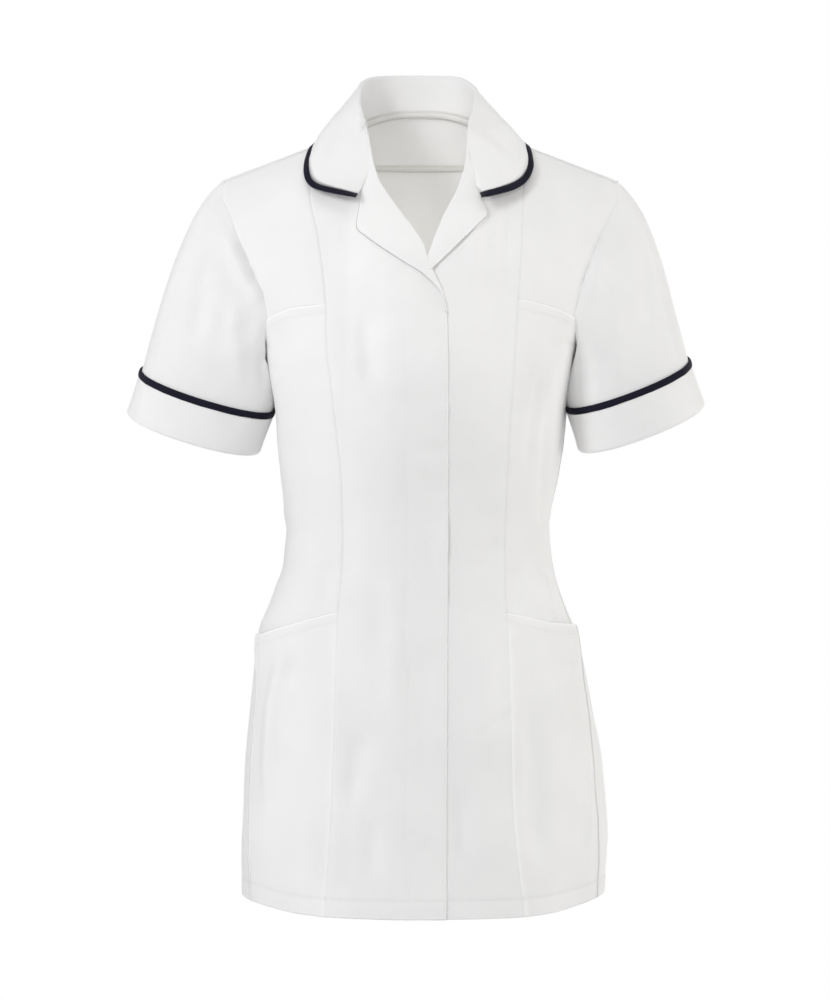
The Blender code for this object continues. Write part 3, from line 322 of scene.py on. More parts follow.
LAPEL_STEPS = (0.0, 0.05, 0.11, 0.18, 0.26, 0.35, 0.44, 0.53, 0.62, 0.71, 0.8, 0.88, 0.94,
               0.98, 1.0)
LAPEL_CLEARANCE = 0.25
LAPEL_STAND_OFF = 1.3
LAPEL_THICK = 1.0
LAPEL_TOP_SINK = (0.9, 0.07)       # their tops sink under the collar: depth, share of length
LAPEL_SINK = {"right": 1.3, "left": 0.7}    # the lapels' lower ends go flat
LAPEL_SINK_SHARES = {"right": (0.86, 1.0), "left": (0.72, 0.95)}
# the cloth turns back under along the roll line: outward and inward
LAPEL_TURN = ((-1.2, 2.6), (0.4, 2.3), (1.1, 1.4), (0.9, 0.55))
# rounds of laying points on other pieces, and of lifting points that lie closer than this
SETTLE_STEPS = 12
LIFT_STEPS = 3
LIFT_REACH = 9.0

# ---- back neck facing and studs ----
FACING_BOTTOM_Z = -30.0
FACING_HALF = 60.0
FACING_SUNK = 1.3          # inside the back
FACING_TAPER = 4.0         # it is narrower by this at the top, on each side
FACING_DROP = 1.0          # below the back's neck edge
FACING_COLUMNS = 61
STAND_SEEN = (0.2, 0.8)    # the stretch of the collar's seam whose overlocking shows
STUD_X = -9.0
STUD_Z = (-205.0, -300.0, -395.0, -490.0, -585.0)
# radius and height: the cap's rolled rim over a small post
STUD_PROFILE = ((2.2, 0.35), (2.6, 1.15), (3.2, 1.4), (3.9, 1.2), (4.4, 0.75), (4.9, 0.8),
                (5.3, 0.6), (5.5, 0.25), (5.3, 0.0))
STUD_SIDES = 28
STUD_GAP = 0.1
# rings of a thread: place along it, thickness, height
THREAD_RINGS = ((-0.5, 0.35, -0.28), (-0.34, 0.9, 0.0), (0.0, 1.0, 0.05), (0.34, 0.9, 0.0),
                (0.5, 0.35, -0.28))
THREAD_SIDES = 6

# ---- laid creases: height, half width, lopsidedness, then places ----
# (x, z) seen from the front or the back; ridges are positive and troughs negative
FRONT_CREASES = (
    (1.6, 14, 0, (-90, -179), (-87, -209), (-89, -245)),
    (-1.7, 11, 0.3, (-53, -181), (-50, -219), (-47, -256)),
    (1.3, 7, 0, (53, -71), (50, -125), (49, -177)),
    (1.2, 6.5, 0, (73, -71), (72, -125), (70, -175)),
    (-1.5, 7, 0, (83, -69), (82, -125), (80, -181)),
    (-1.7, 10, 0, (117, -221), (108, -284), (99, -352)),
    (-1.8, 10, 0, (124, -247), (119, -321), (116, -400)),
    (1.9, 5.5, 0.3, (105, -416), (114, -423), (126, -464), (133, -480)),
    (-1.6, 9, 0, (91, -417), (90, -443), (90, -470)),
    (-1, 5, 0.3, (77, -389), (64, -410), (50, -431)),
    (-1, 6, 0.2, (84, -555), (65, -571), (47, -586)),
    (-1.6, 10, 0, (-88, -413), (-89, -438), (-88, -465)),
    (-0.7, 2.6, 0.2, (-78, -415), (-63, -418)),
    (-0.7, 2.8, 0.2, (-77, -425), (-61, -429)),
    (-0.5, 2.4, 0.2, (-77, -436), (-64, -438)),
    (2.4, 9, 0, (-124, -486), (-133, -520), (-141, -556), (-143, -605), (-142, -664)),
    (-0.9, 8, 0, (-116, -503), (-121, -518), (-127, -535)),
    (-0.9, 10, 0, (-114, -631), (-117, -671), (-118, -716)),
    (-1.4, 12, 0, (-51, -567), (-59, -607), (-67, -651)),
    (-0.7, 9, 0, (-43, -652), (-45, -686), (-46, -716)),
    (1.4, 8, 0, (141, -484), (145, -498), (147, -520)),
    (1, 8, 0, (136, -518), (135, -546), (135, -575)),
    (-2.5, 12, 0.2, (103, -533), (105, -605), (108, -681), (128, -715)),
    (1.9, 8, 0.2, (156, -590), (159, -640), (158, -694)),
    (-1.7, 10, 0, (34, -619), (36, -663), (38, -711)),
    (0.8, 9, 0, (-24, -415), (-21, -490), (-25, -565)),
    (-0.8, 11, 0, (4, -490), (1, -565), (4, -640)),
    (0.9, 10, 0, (62, -471), (61, -537), (64, -611)),
)
BACK_CREASES = (
    (-1.9, 12, 0.1, (-62, -318), (-58, -372), (-64, -438)),
    (-1.7, 11, 0, (66, -306), (60, -366), (68, -446)),
    (1.7, 12, 0, (-30, -330), (-26, -384), (-30, -430)),
    (1.4, 10, 0, (28, -322), (26, -380), (34, -428)),
    (-1.5, 9, 0.2, (2, -340), (0, -388), (4, -424)),
    (0.6, 8, 0.2, (-104, -350), (-80, -364), (-40, -372)),
    (-0.6, 8, 0.2, (-106, -366), (-80, -384), (-44, -392)),
    (0.6, 8, 0.2, (104, -344), (78, -360), (42, -366)),
    (-0.6, 9, 0.2, (108, -368), (86, -388), (46, -398)),
    (-2, 13, 0, (-96, -520), (-92, -610), (-98, -706)),
    (1.6, 12, 0, (-58, -552), (-54, -640), (-60, -736)),
    (-1.4, 11, 0, (22, -560), (20, -640), (26, -728)),
    (-1.9, 13, 0.1, (104, -536), (100, -620), (108, -716)),
    (1.5, 10, 0, (70, -570), (66, -650), (74, -730)),
    (1.4, 11, 0.2, (-120, -106), (-96, -170), (-84, -236)),
    (-1.3, 10, 0.1, (-134, -150), (-112, -206), (-104, -262)),
    (1.3, 11, 0.2, (124, -112), (100, -176), (90, -240)),
    (-1.4, 11, 0.1, (132, -160), (116, -214), (108, -270)),
    (0.9, 10, 0, (-46, -34), (-2, -46), (44, -36)),
    (-0.8, 10, 0, (-52, -62), (0, -76), (50, -64)),
)
# (ring angle, z) on the sides
SIDE_CREASES = {
    "right": ((-1.6, 9, 0, (96, -232), (94, -290), (96, -350)),
              (1.3, 8, 0, (104, -262), (102, -322), (100, -386)),
              (0.25, 6, 0.3, (84, -360), (94, -372), (108, -376)),
              (-0.25, 7, 0.3, (82, -378), (94, -392), (112, -398)),
              (-1.7, 11, 0, (88, -500), (90, -590), (88, -690)),
              (1.5, 10, 0, (104, -480), (106, -560), (102, -652))),
    "left": ((-1.5, 9, 0, (98, -228), (96, -296), (98, -360)),
             (1.4, 8, 0, (90, -240), (92, -300), (90, -366)),
             (0.2, 6, 0.3, (86, -352), (98, -366), (112, -370)),
             (-0.2, 7, 0.3, (84, -372), (96, -388), (110, -396)),
             (-1.8, 12, 0, (92, -520), (94, -610), (92, -702)),
             (1.4, 9, 0, (82, -560), (82, -640), (84, -716))),
}
SLEEVE_CREASES = {
    "right": ((2, 8, 0.2, (-190, -96), (-167, -144), (-147, -181)),
              (-1.4, 9, 0, (-175, -96), (-155, -137), (-142, -167)),
              (-1.2, 6, 0, (-153, -208), (-151, -236), (-151, -262)),
              (1, 8, 0, (-180, -167), (-176, -210), (-173, -255)),
              (-1.1, 9, 0, (-206, -119), (-211, -167), (-218, -217)),
              (0.5, 7, 0.2, (-146, -196), (-173, -217), (-199, -225))),
    "left": ((-1.4, 9, 0, (211, -98), (216, -148), (220, -206)),
             (1.2, 8, 0.2, (184, -86), (172, -131), (161, -179)),
             (-0.8, 8, 0, (155, -190), (161, -230), (163, -268)),
             (1, 8, 0, (192, -167), (190, -210), (192, -254)),
             (0.4, 7, 0.2, (149, -206), (176, -217), (205, -227))),
}
SLEEVE_CREASES_BACK = {
    "right": ((1.5, 8, 0.2, (-176, -88), (-168, -140), (-158, -186)),
              (-1.5, 8, 0, (-160, -192), (-160, -222), (-164, -258)),
              (1, 9, 0, (-196, -130), (-192, -180), (-196, -236)),
              (-1, 9, 0.1, (-222, -120), (-224, -168), (-232, -212)),
              (0.9, 6, 0.3, (-160, -206), (-186, -214), (-214, -214))),
    "left": ((1.4, 9, 0.2, (178, -90), (168, -136), (160, -182)),
             (-1.4, 8, 0, (160, -196), (164, -228), (166, -256)),
             (-1, 10, 0, (200, -118), (203, -172), (204, -232)),
             (1.1, 8, 0.1, (218, -130), (222, -176), (228, -216)),
             (0.8, 6, 0.3, (162, -214), (182, -222), (206, -222))),
}
COLLAR_CREASES = (
    (0.7, 7, 0, (-78, 18), (-90, 2), (-102, -14)),
    (-0.7, 7, 0, (-64, 4), (-82, -14), (-96, -38)),
    (0.7, 7, 0, (74, 14), (88, -2), (100, -18)),
    (-0.7, 7, 0, (62, 0), (78, -16), (92, -38)),
)

# ---- unevenness ----
# soft waves of each kind of piece: height, size, how much they are drawn out downward, seed
UNEVEN = {
    "body": ((1.0, 46.0, 0.5, 3), (0.32, 18.0, 0.6, 4)),
    "sleeve": ((0.6, 42.0, 0.6, 7), (0.25, 17.0, 1.0, 8)),
    "cuff": ((0.5, 34.0, 0.8, 9),),
    "collar": ((0.35, 30.0, 1.0, 61),),
    "lapel": ((0.5, 26.0, 1.0, 71),),
    "facing": ((0.5, 24.0, 1.0, 81),),
}
# short ripples square to a seam: seed, length, height, how far from the seam they reach
RIPPLES = {
    "princess_right": (11, 11.0, 0.32, 9.0),
    "princess_left": (12, 11.0, 0.32, 9.0),
    "side_right": (14, 11.0, 0.32, 9.0),
    "side_left": (19, 11.0, 0.32, 9.0),
    "front_hem": (21, 13.0, 0.3, 14.0),
    "side_hem": (22, 12.0, 0.34, 14.0),
    "back_hem": (23, 13.0, 0.3, 14.0),
    "mouth_right": (31, 9.0, 0.28, 9.0),
    "mouth_left": (36, 9.0, 0.28, 9.0),
    "armhole": (41, 10.0, 0.45, 9.0),
    "cuff": (43, 9.0, 0.35, 6.0),
    "fly": (51, 12.0, 0.75, 22.0),
    "fly_fine": (52, 5.5, 0.3, 20.0),
    "collar": (62, 8.0, 0.4, 6.0),
    "collar_long": (63, 26.0, 0.7, 14.0),
}
NOISE_CELLS = 61
CREASE_REACH = 2.6         # half widths beyond which a crease is nothing
CREASE_LOPSIDED = 0.75
CREASE_ENDS = 0.3          # share of its length over which a crease fades in


# ---- tables and curves ----
def curve(knots, values, at):
    """Smooth curve through the knots that doesn't overshoot (monotone cubic)."""
    order = np.argsort(knots)
    x, y = np.asarray(knots, float)[order], np.asarray(values, float)[order]
    at = np.clip(np.asarray(at, float), x[0], x[-1])
    step = np.diff(x)
    slope = np.diff(y) / step
    grade = np.zeros(len(x))
    grade[0], grade[-1] = slope[0], slope[-1]
    same = slope[:-1] * slope[1:] > 0
    w1 = 2 * step[1:] + step[:-1]
    w2 = step[1:] + 2 * step[:-1]
    safe_a = np.where(same, slope[:-1], 1.0)
    safe_b = np.where(same, slope[1:], 1.0)
    grade[1:-1] = np.where(same, (w1 + w2) / (w1 / safe_a + w2 / safe_b), 0.0)
    k = np.clip(np.searchsorted(x, at, side="right") - 1, 0, len(x) - 2)
    t = (at - x[k]) / step[k]
    return (y[k] * (1 + 2 * t) * (1 - t) ** 2 + step[k] * grade[k] * t * (1 - t) ** 2
            + y[k + 1] * t * t * (3 - 2 * t) + step[k] * grade[k + 1] * t * t * (t - 1))


def read(rows, name, at):
    """One column of a table, smooth between the places in its first column."""
    places = next(iter(rows.values()))
    return curve(places, rows[name], at)


def ramp(value, start, end):
    """0 at start, 1 at end, smooth between."""
    t = np.clip((np.asarray(value, float) - start) / (end - start), 0.0, 1.0)
    return t * t * (3 - 2 * t)


def near_line(distance, width):
    """1 on a line, falling away smoothly on both sides of it."""
    return np.exp(-(distance / width) ** 2)


def unit(vectors):
    """The vectors, each at length 1."""
    return vectors / np.linalg.norm(vectors, axis=-1, keepdims=True).clip(1e-9)


def travelled(line):
    """Length of a line up to each of its points."""
    return np.concatenate([[0.0], np.cumsum(np.linalg.norm(np.diff(line, axis=0), axis=1))])


def along_curves(knots, line, at):
    """Points of the smooth line that has these points at its knots."""
    return np.stack([curve(knots, values, at) for values in np.asarray(line, float).T], axis=-1)


def along_straights(knots, line, at):
    """Points of the broken line that has these points at its knots."""
    return np.stack([np.interp(at, knots, values) for values in line.T], axis=-1)


def smooth_line(points, count=22):
    """Evenly spaced points of the smooth line through a few points."""
    length = travelled(points)
    return along_curves(length, points, np.linspace(0.0, length[-1], count))


# ---- form of the body ----
def sign_of(side):
    return -1.0 if side == "right" else 1.0


def half_width(z, side):
    return read(SECTIONS, "half_" + side, z)


def ridge(x):
    """Height of the shoulder ridge over a point this far from the centre."""
    x = np.abs(x)
    inside = np.maximum(NECK_POINT_X - x, 0.0)
    return np.where(x > NECK_POINT_X, -(x - NECK_POINT_X) * SHOULDER_SLOPE,
                    NECK_RISE[0] * inside - NECK_RISE[1] * inside ** 2)


def depth(x, z, is_front):
    """Distance of the body's surface before or behind the ridge plane, at the middle."""
    drop = np.maximum(ridge(x) - z, 1e-6)
    full = np.exp(-((np.abs(x) - BUST_X) / BUST_SPREAD) ** 2 - ((z - BUST_Z) / BUST_SPREAD) ** 2)
    flat = np.where(is_front, read(SECTIONS, "front", z) + BUST_FULLNESS * full,
                    read(SECTIONS, "back", z))
    near = np.where(is_front, RIDGE_FRONT[0] * drop ** RIDGE_FRONT[1],
                    RIDGE_BACK[0] * drop ** RIDGE_BACK[1])
    return (near ** -SOFT_MIN + flat ** -SOFT_MIN) ** (-1 / SOFT_MIN)


def body(angle, z):
    """Point of the body: angle 0 is centre front, 90 the left side, -90 the right."""
    angle, z = np.broadcast_arrays(np.asarray(angle, float), np.asarray(z, float))
    angle = np.where(angle > 180.0, angle - 360.0, angle)
    wide = np.where(angle < 0, half_width(z, "right"), half_width(z, "left"))
    turn = np.radians(np.abs(angle))
    x = np.sign(angle) * wide * np.sin(turn).clip(0) ** (2 / SQUARE)
    is_front = np.abs(angle) <= 90.0
    reach = depth(x, z, is_front) * np.abs(np.cos(turn)) ** (2 / SQUARE)
    return np.stack([x, np.where(is_front, -reach, reach), z], axis=-1)


def body_normal(angle, z):
    """Outward normal of the body's surface."""
    angle, z = np.broadcast_arrays(np.asarray(angle, float), np.asarray(z, float))
    across = body(angle + NORMAL_STEP, z) - body(angle - NORMAL_STEP, z)
    down = body(angle, z - NORMAL_STEP) - body(angle, z + NORMAL_STEP)
    return unit(np.cross(down, across))


def angle_at(x, z):
    """Ring angle of the front point this far from the centre line (signed)."""
    x = np.asarray(x, float)
    wide = np.where(x < 0, half_width(z, "right"), half_width(z, "left"))
    share = np.clip(np.abs(x) / wide, 0.0, 1.0)
    return np.sign(x) * np.degrees(np.arcsin(share ** (SQUARE / 2)))


def princess_angle(z, side):
    """Ring angle of the princess seam."""
    return np.abs(angle_at(sign_of(side) * read(PRINCESS, side, z), z))


def outer_angle(z, side, face):
    """Ring angle of the armhole edge above the underarm, of the side seam below."""
    arm = np.abs(angle_at(sign_of(side) * read(ARMHOLE, face, z), z))
    if face == "back":
        arm = 180.0 - arm
    return np.where(np.asarray(z) > UNDERARM_Z, arm, read(SIDE_SEAM, "angle", z))


def over_ridge(x, y):
    """Height of the shoulder at this distance from the centre and from the ridge plane."""
    x, y = np.broadcast_arrays(np.asarray(x, float), np.asarray(y, float))
    scale = np.where(y < 0, RIDGE_FRONT[0], RIDGE_BACK[0])
    power = np.where(y < 0, RIDGE_FRONT[1], RIDGE_BACK[1])
    wide = half_width(ridge(x) - RIDGE_DEPTH, "right")
    lateral = (1.0 - (np.abs(x) / wide) ** SQUARE).clip(1e-6) ** (1 / SQUARE)
    return ridge(x) - (np.abs(y) / (scale * lateral)) ** (1 / power)


def ridge_normals(x, y):
    """Outward normals of the shoulder near its ridge."""
    side = (over_ridge(x, y) - over_ridge(x + NORMAL_STEP, y)) / NORMAL_STEP
    fall = (over_ridge(x, y) - over_ridge(x, y + NORMAL_STEP)) / NORMAL_STEP
    return unit(np.stack([side, fall, np.ones_like(fall)], axis=-1))


# ---- waves, ripples and creases ----
def noise(place, size, seed):
    """Smooth noise from -1 to 1 in one, two or three dimensions, its cells this large."""
    place = np.asarray(place, float) / size
    if place.ndim == 1:
        place = place[:, None]
    values = np.random.default_rng(seed).uniform(-1, 1, NOISE_CELLS ** 3)
    low = np.floor(place).astype(int)
    part = place - low
    part = part * part * (3 - 2 * part)
    total = np.zeros(place.shape[:-1])
    dims = place.shape[-1]
    for corner in range(2 ** dims):
        index = np.zeros(total.shape, int)
        weight = np.ones(total.shape)
        for k in range(dims):
            up = (corner >> k) & 1
            index = index * NOISE_CELLS + (low[..., k] + up) % NOISE_CELLS
            weight = weight * (part[..., k] if up else 1 - part[..., k])
        total += weight * values[index % NOISE_CELLS ** 3]
    return total


def uneven(rise, points, kind):
    """These heights with the soft waves of this kind of piece added."""
    for high, size, drawn, seed in UNEVEN[kind]:
        rise = rise + high * noise(points * [1.0, 1.0, drawn], size, seed)
    return rise


def pucker(kind, distance, along):
    """Short uneven ripples square to a seam, by the distance from it and along it."""
    seed, size, high, reach = RIPPLES[kind]
    along = np.asarray(along, float)[..., None]
    waves = noise(along, size, seed) + 0.4 * noise(along, size * 0.45, seed + 50)
    return high * waves * near_line(np.abs(distance), reach)


def seam_dip(distance, depth=SEAM_ROLL):
    """How far cloth sinks as it nears a seam."""
    return -depth * near_line(np.maximum(distance, 0.0), SEAM_ROLL_WIDTH)


def along_line(points, line):
    """Each point's distance from a line, its share of the way along, and the offset."""
    best = np.full(len(points), 1e9)
    share = np.zeros(len(points))
    offset = np.zeros((len(points), 3))
    tangent = np.zeros((len(points), 3))
    count = len(line) - 1
    for k in range(count):
        a, b = line[k], line[k + 1]
        run = b - a
        t = np.clip(((points - a) @ run) / (run @ run), 0, 1)
        gap = points - (a + t[:, None] * run)
        d = np.linalg.norm(gap, axis=1)
        near = d < best
        best[near] = d[near]
        share[near] = (k + t[near]) / count
        offset[near] = gap[near]
        tangent[near] = run / np.linalg.norm(run)
    return best, share, offset, tangent


def relief(points, normals, creases):
    """Height of the creases at these points of the undisturbed cloth."""
    flat, facing = points.reshape(-1, 3), normals.reshape(-1, 3)
    height = np.zeros(len(flat))
    for high, wide, skew, line in creases:
        reach = CREASE_REACH * wide
        low, top = line.min(axis=0) - reach, line.max(axis=0) + reach
        near = np.all((flat > low) & (flat < top), axis=1)
        if not near.any():
            continue
        distance, share, offset, tangent = along_line(flat[near], line)
        side = np.einsum("ij,ij->i", np.cross(tangent, facing[near]), offset)
        width = np.where(side * skew > 0, wide * (1 - CREASE_LOPSIDED * abs(skew)), wide)
        ends = ramp(share, 0.0, CREASE_ENDS) * ramp(share, 1.0, 1.0 - CREASE_ENDS)
        height[near] += CREASE_HEIGHT * high * near_line(distance, width) * ends
    return height.reshape(points.shape[:-1])


def laid(rows, place, count=22):
    """Creases of a table; place makes a line in space of each one's two coordinates."""
    return [(high, wide, skew, place(*smooth_line(points, count).T))
            for high, wide, skew, *points in rows]


def on_body(face, rows):
    """Creases of the body from their places seen from the front or the back."""
    def place(x, z):
        angle = angle_at(x, z)
        if face == "back":
            angle = np.where(x < 0, -1.0, 1.0) * (180.0 - np.abs(angle))
        return body(angle, z)
    return laid(rows, place)


def on_side(side, rows):
    """Creases of the body's side from their ring angles and heights."""
    def place(angle, z):
        return body(sign_of(side) * angle, z)
    return laid(rows, place)


def on_grid(rows, grid, normals, face):
    """Creases of any piece from their places seen from the front or the back."""
    toward = -1.0 if face == "front" else 1.0
    seen = grid[normals[..., 1] * toward > 0.05]

    def place(x, z):
        gaps = (seen[:, 0] - x[:, None]) ** 2 + (seen[:, 2] - z[:, None]) ** 2
        return smooth_line(seen[np.argmin(gaps, axis=1)])
    return laid(rows, place, 14)


# ---- meshes ----
def grid_normals(grid, closed=False):
    """Normals of a grid of points (rows, columns, 3)."""
    down = np.gradient(grid, axis=0)
    if closed:
        across = np.roll(grid, -1, axis=1) - np.roll(grid, 1, axis=1)
    else:
        across = np.gradient(grid, axis=1)
    return unit(np.cross(across, down))


def blurred(values, closed=False):
    """A grid of vectors, each averaged with its neighbours."""
    padded = np.concatenate([values[:1], values, values[-1:]])
    values = (padded[:-2] + 2 * padded[1:-1] + padded[2:]) / 4
    if closed:
        return (np.roll(values, 1, axis=1) + 2 * values + np.roll(values, -1, axis=1)) / 4
    padded = np.concatenate([values[:, :1], values, values[:, -1:]], axis=1)
    return (padded[:, :-2] + 2 * padded[:, 1:-1] + padded[:, 2:]) / 4


def lengths(grid):
    """Distance of each point along its row and down its column, for the weave."""
    across = np.linalg.norm(np.diff(grid, axis=1), axis=2)
    across = np.concatenate([np.zeros((len(grid), 1)), np.cumsum(across, axis=1)], axis=1)
    across -= across[:, across.shape[1] // 2][:, None]
    down = np.linalg.norm(np.diff(grid, axis=0), axis=2)
    down = np.concatenate([np.zeros((1, grid.shape[1])), np.cumsum(down, axis=0)], axis=0)
    return np.stack([across, down], axis=-1)


def quads_of(index, closed=False):
    """Four-sided faces between neighbouring rows and columns of point numbers."""
    after = np.roll(index, -1, axis=1)
    if not closed:
        index, after = index[:, :-1], after[:, :-1]
    return np.stack([index[:-1], after[:-1], after[1:], index[1:]], axis=-1).reshape(-1, 4)


def search_tree(points, faces):
    """Search tree that finds the nearest point of some faces."""
    return BVHTree.FromPolygons([Vector(point) for point in points], faces)


def face_tree(grid, flip=False):
    """Search tree over one face of a grid of points."""
    quads = quads_of(np.arange(grid[..., 0].size).reshape(grid.shape[:2]))
    return search_tree(grid.reshape(-1, 3), (quads[:, ::-1] if flip else quads).tolist())


def tree_of(grids):
    """Search tree over the outer faces of grids of points, facing away from the body."""
    points, faces = np.concatenate([grid.reshape(-1, 3) for grid in grids]), []
    base = 0
    for grid in grids:
        rows, cols = grid.shape[:2]
        quads = quads_of(base + np.arange(rows * cols).reshape(rows, cols))[:, [0, 3, 2, 1]]
        base += rows * cols
        a, b, c = points[quads[len(quads) // 2][:3]]
        if np.cross(b - a, c - a) @ (grid[rows // 2, cols // 2] * [1.0, 1.0, 0.0]) < 0:
            quads = quads[:, ::-1]
        faces += quads.tolist()
    return search_tree(points, faces)


def make(name, points, faces, uvs, shades, material, nodes):
    """A mesh object that rides on the garment; uvs and the painted shade and highlight values go
    with the points.
    """
    mesh = bpy.data.meshes.new(name)
    mesh.from_pydata((np.asarray(points) * MM).tolist(), [], faces)
    mesh.update()
    corner = np.zeros(len(mesh.loops), np.int32)
    mesh.loops.foreach_get("vertex_index", corner)
    layer = mesh.uv_layers.new(name="UVMap")
    layer.data.foreach_set("uv", (np.asarray(uvs)[corner] * MM).astype(np.float32).ravel())
    # the seam attribute carries painted shade where positive and painted highlight where negative
    shade = mesh.attributes.new("seam", "FLOAT", "POINT")
    shade.data.foreach_set("value", np.asarray(shades, np.float32))
    mesh.shade_smooth()
    thing = bpy.data.objects.new(name, mesh)
    bpy.context.scene.collection.objects.link(thing)
    mesh.materials.append(material)
    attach(thing, "root")
    if nodes:
        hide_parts(*nodes)


def shell(name, grid, thick, flip, nodes, shade=None, closed=False, material=None):
    """A closed wall of cloth with rounded edges; the grid is its outer face."""
    rows, cols = grid.shape[:2]
    normal = grid_normals(grid, closed) * (-1.0 if flip else 1.0)
    inward = unit(blurred(blurred(normal, closed), closed))
    thick = np.broadcast_to(np.asarray(thick, float), (rows, cols))
    inner = grid - inward * thick[..., None]
    shade = np.zeros((rows, cols)) if shade is None else shade
    uv, shade = lengths(grid).reshape(-1, 2), shade.reshape(-1)
    flat, back = grid.reshape(-1, 3), inner.reshape(-1, 3)
    points, uvs, shades = [flat, back], [uv, uv], [shade, shade]
    count = rows * cols
    index = np.arange(count).reshape(rows, cols)
    quads = quads_of(index, closed)
    faces = [quads, quads[:, ::-1] + count]
    # the rim: a line half way through the wall, pushed out a little
    if closed:
        rims = [(index[0], index[1]), (index[-1], index[-2])]
    else:
        around = np.concatenate([index[0], index[1:, -1], index[-1, -2::-1], index[-2:0:-1, 0]])
        inside = np.concatenate([index[1], index[1:, -2], index[-2, -2::-1], index[-2:0:-1, 1]])
        rims = [(around, inside)]
    base = 2 * count
    for number, (around, inside) in enumerate(rims):
        out = unit(flat[around] - flat[inside])
        reach = thick.reshape(-1)[around][:, None]
        points.append((flat[around] + back[around]) / 2 + out * reach * RIM_BULGE)
        uvs.append(uv[around])
        shades.append(shade[around])
        middle = base + np.arange(len(around))
        after, next_middle = np.roll(around, -1), np.roll(middle, -1)
        rim = np.concatenate([np.stack([around, middle, next_middle, after], axis=-1),
                              np.stack([middle, around + count, after + count, next_middle],
                                       axis=-1)])
        faces.append(rim if number == 1 else rim[:, ::-1])
        base += len(around)
    faces = np.concatenate(faces)
    if not flip:
        faces = faces[:, ::-1]
    make(name, np.concatenate(points), faces.tolist(), np.concatenate(uvs),
         np.concatenate(shades), material or CLOTH_WHITE, nodes)


def navy_band(name, grid, thick, flip, nodes, closed=False):
    """A strip of the navy binding."""
    shell(name, grid, thick, flip, nodes, None, closed, BINDING_NAVY)


# ---- rows and columns of the panels ----
EDGE_STEPS = (0.0, 0.7, 1.6, 3.0, 5.0)
PITCH = 3.6
SEARCH_ROUNDS = 26         # enough for a height that is found step by step to settle
MOUTH_ROUNDS = 14


def stops(length, start=EDGE_STEPS, end=EDGE_STEPS, pitch=PITCH):
    """Places along a length, close together at both ends."""
    low, high = start[-1], length - end[-1]
    count = max(2, int(round((high - low) / pitch)))
    middle = np.linspace(low, high, count + 1)
    return np.concatenate([start[:-1], middle, length - np.array(end[:-1])[::-1]])


UPPER_LENGTH, FRONT_WIDTH, SIDE_WIDTH = 175.0, 98.0, 76.0
UPPER = stops(UPPER_LENGTH, end=(0.0, 4.0)) / UPPER_LENGTH
HEM_ROWS = HEM_DEPTH + np.array([7.0, 4.0, 2.0, 1.0, 0.4, -0.2, -0.8, -1.6, -3.2])
HEM_END = (9.0, 5.0, 2.4, 1.0, 0.0)


def hem_rise(angle):
    """Height of the hem's edge over its lowest point."""
    angle = np.where(angle > 180.0, angle - 360.0, angle)
    right, left = (read(HEM_EDGE, side, np.abs(angle)) for side in ("right", "left"))
    return np.where(angle < 0, right, left)


def level_rows(first):
    """Heights of the rows from this one down to the hem, close together at its stitches."""
    start = HEM_Z + HEM_ROWS[0]
    count = int(round((first - start) / PITCH))
    body_rows = np.linspace(first, start, count + 1)
    return np.concatenate([body_rows, HEM_Z + HEM_ROWS[1:], HEM_Z + np.array(HEM_END)])


def spread(heights, shares):
    """Level rows at these heights, one point for each column."""
    return np.repeat(heights[:, None], len(shares), axis=1)


def row_at(z, height):
    """The row whose middle lies nearest this height."""
    return int(np.argmin(np.abs(z[:, z.shape[1] // 2] - height)))


def hem_stitches(grid, z):
    """The row of a panel that lies on the hem's stitch line."""
    return grid[row_at(z, HEM_Z + HEM_DEPTH)]


def placed(angle, z):
    """Points of the body, the rows near the hem following its edge."""
    low = z + hem_rise(angle) * ramp(z, HEM_Z + HEM_REACH, HEM_Z)
    return body(angle, low), body_normal(angle, low)


def column_tops(inner, outer, shares, y):
    """Height at which each column of a front piece meets the shoulder at this depth."""
    z = np.full(len(shares), -20.0)
    for _ in range(SEARCH_ROUNDS):
        low, high = inner(z), outer(z)
        x = body(low + (high - low) * shares, z)[..., 0]
        z = (z + over_ridge(np.abs(x), y)) / 2
    return z


def shoulder_rows(inner, outer, shares):
    """Heights of the rows from the shoulder to the underarm, the first tucked past its seam."""
    tops = column_tops(inner, outer, shares, -SEAM_FORWARD - SHOULDER_GAP)
    tuck = column_tops(inner, outer, shares, -SEAM_FORWARD + SHOULDER_TUCK)
    return np.concatenate([tuck[None, :], tops + (UNDERARM_Z - tops) * UPPER[:, None]])


def hem_relief(kind, z, x):
    """Height of the hem's turned-up layers, its stitch groove and its ripples."""
    drop = z - HEM_Z
    layers = HEM_STEP * ramp(drop, HEM_DEPTH + 2.5, HEM_DEPTH - 0.5)
    groove = HEM_GROOVE[0] * near_line(drop - HEM_DEPTH, HEM_GROOVE[1])
    return layers - groove + pucker(kind, drop - HEM_DEPTH, x)


def hem_shade(z):
    """Painted shade along the hem's stitch line."""
    return near_line(z - HEM_Z - HEM_DEPTH, SEAM_WIDTH)


def across(angle_a, angle_b, z):
    """Distance along the ring between two angles at these heights."""
    middle = (angle_a + angle_b) / 2
    step = (angle_b - angle_a) / 2
    a, b, c = body(angle_a, z), body(middle, z), body(middle + step, z)
    return np.linalg.norm(b - a, axis=-1) + np.linalg.norm(c - b, axis=-1)


def all_over(points, normals):
    """What every piece of the body shares: laid creases and soft unevenness."""
    high = uneven(relief(points, normals, BODY_CREASES), points, "body")
    return high * (0.35 + 0.65 * ramp(points[..., 2], *CALM_TOP))


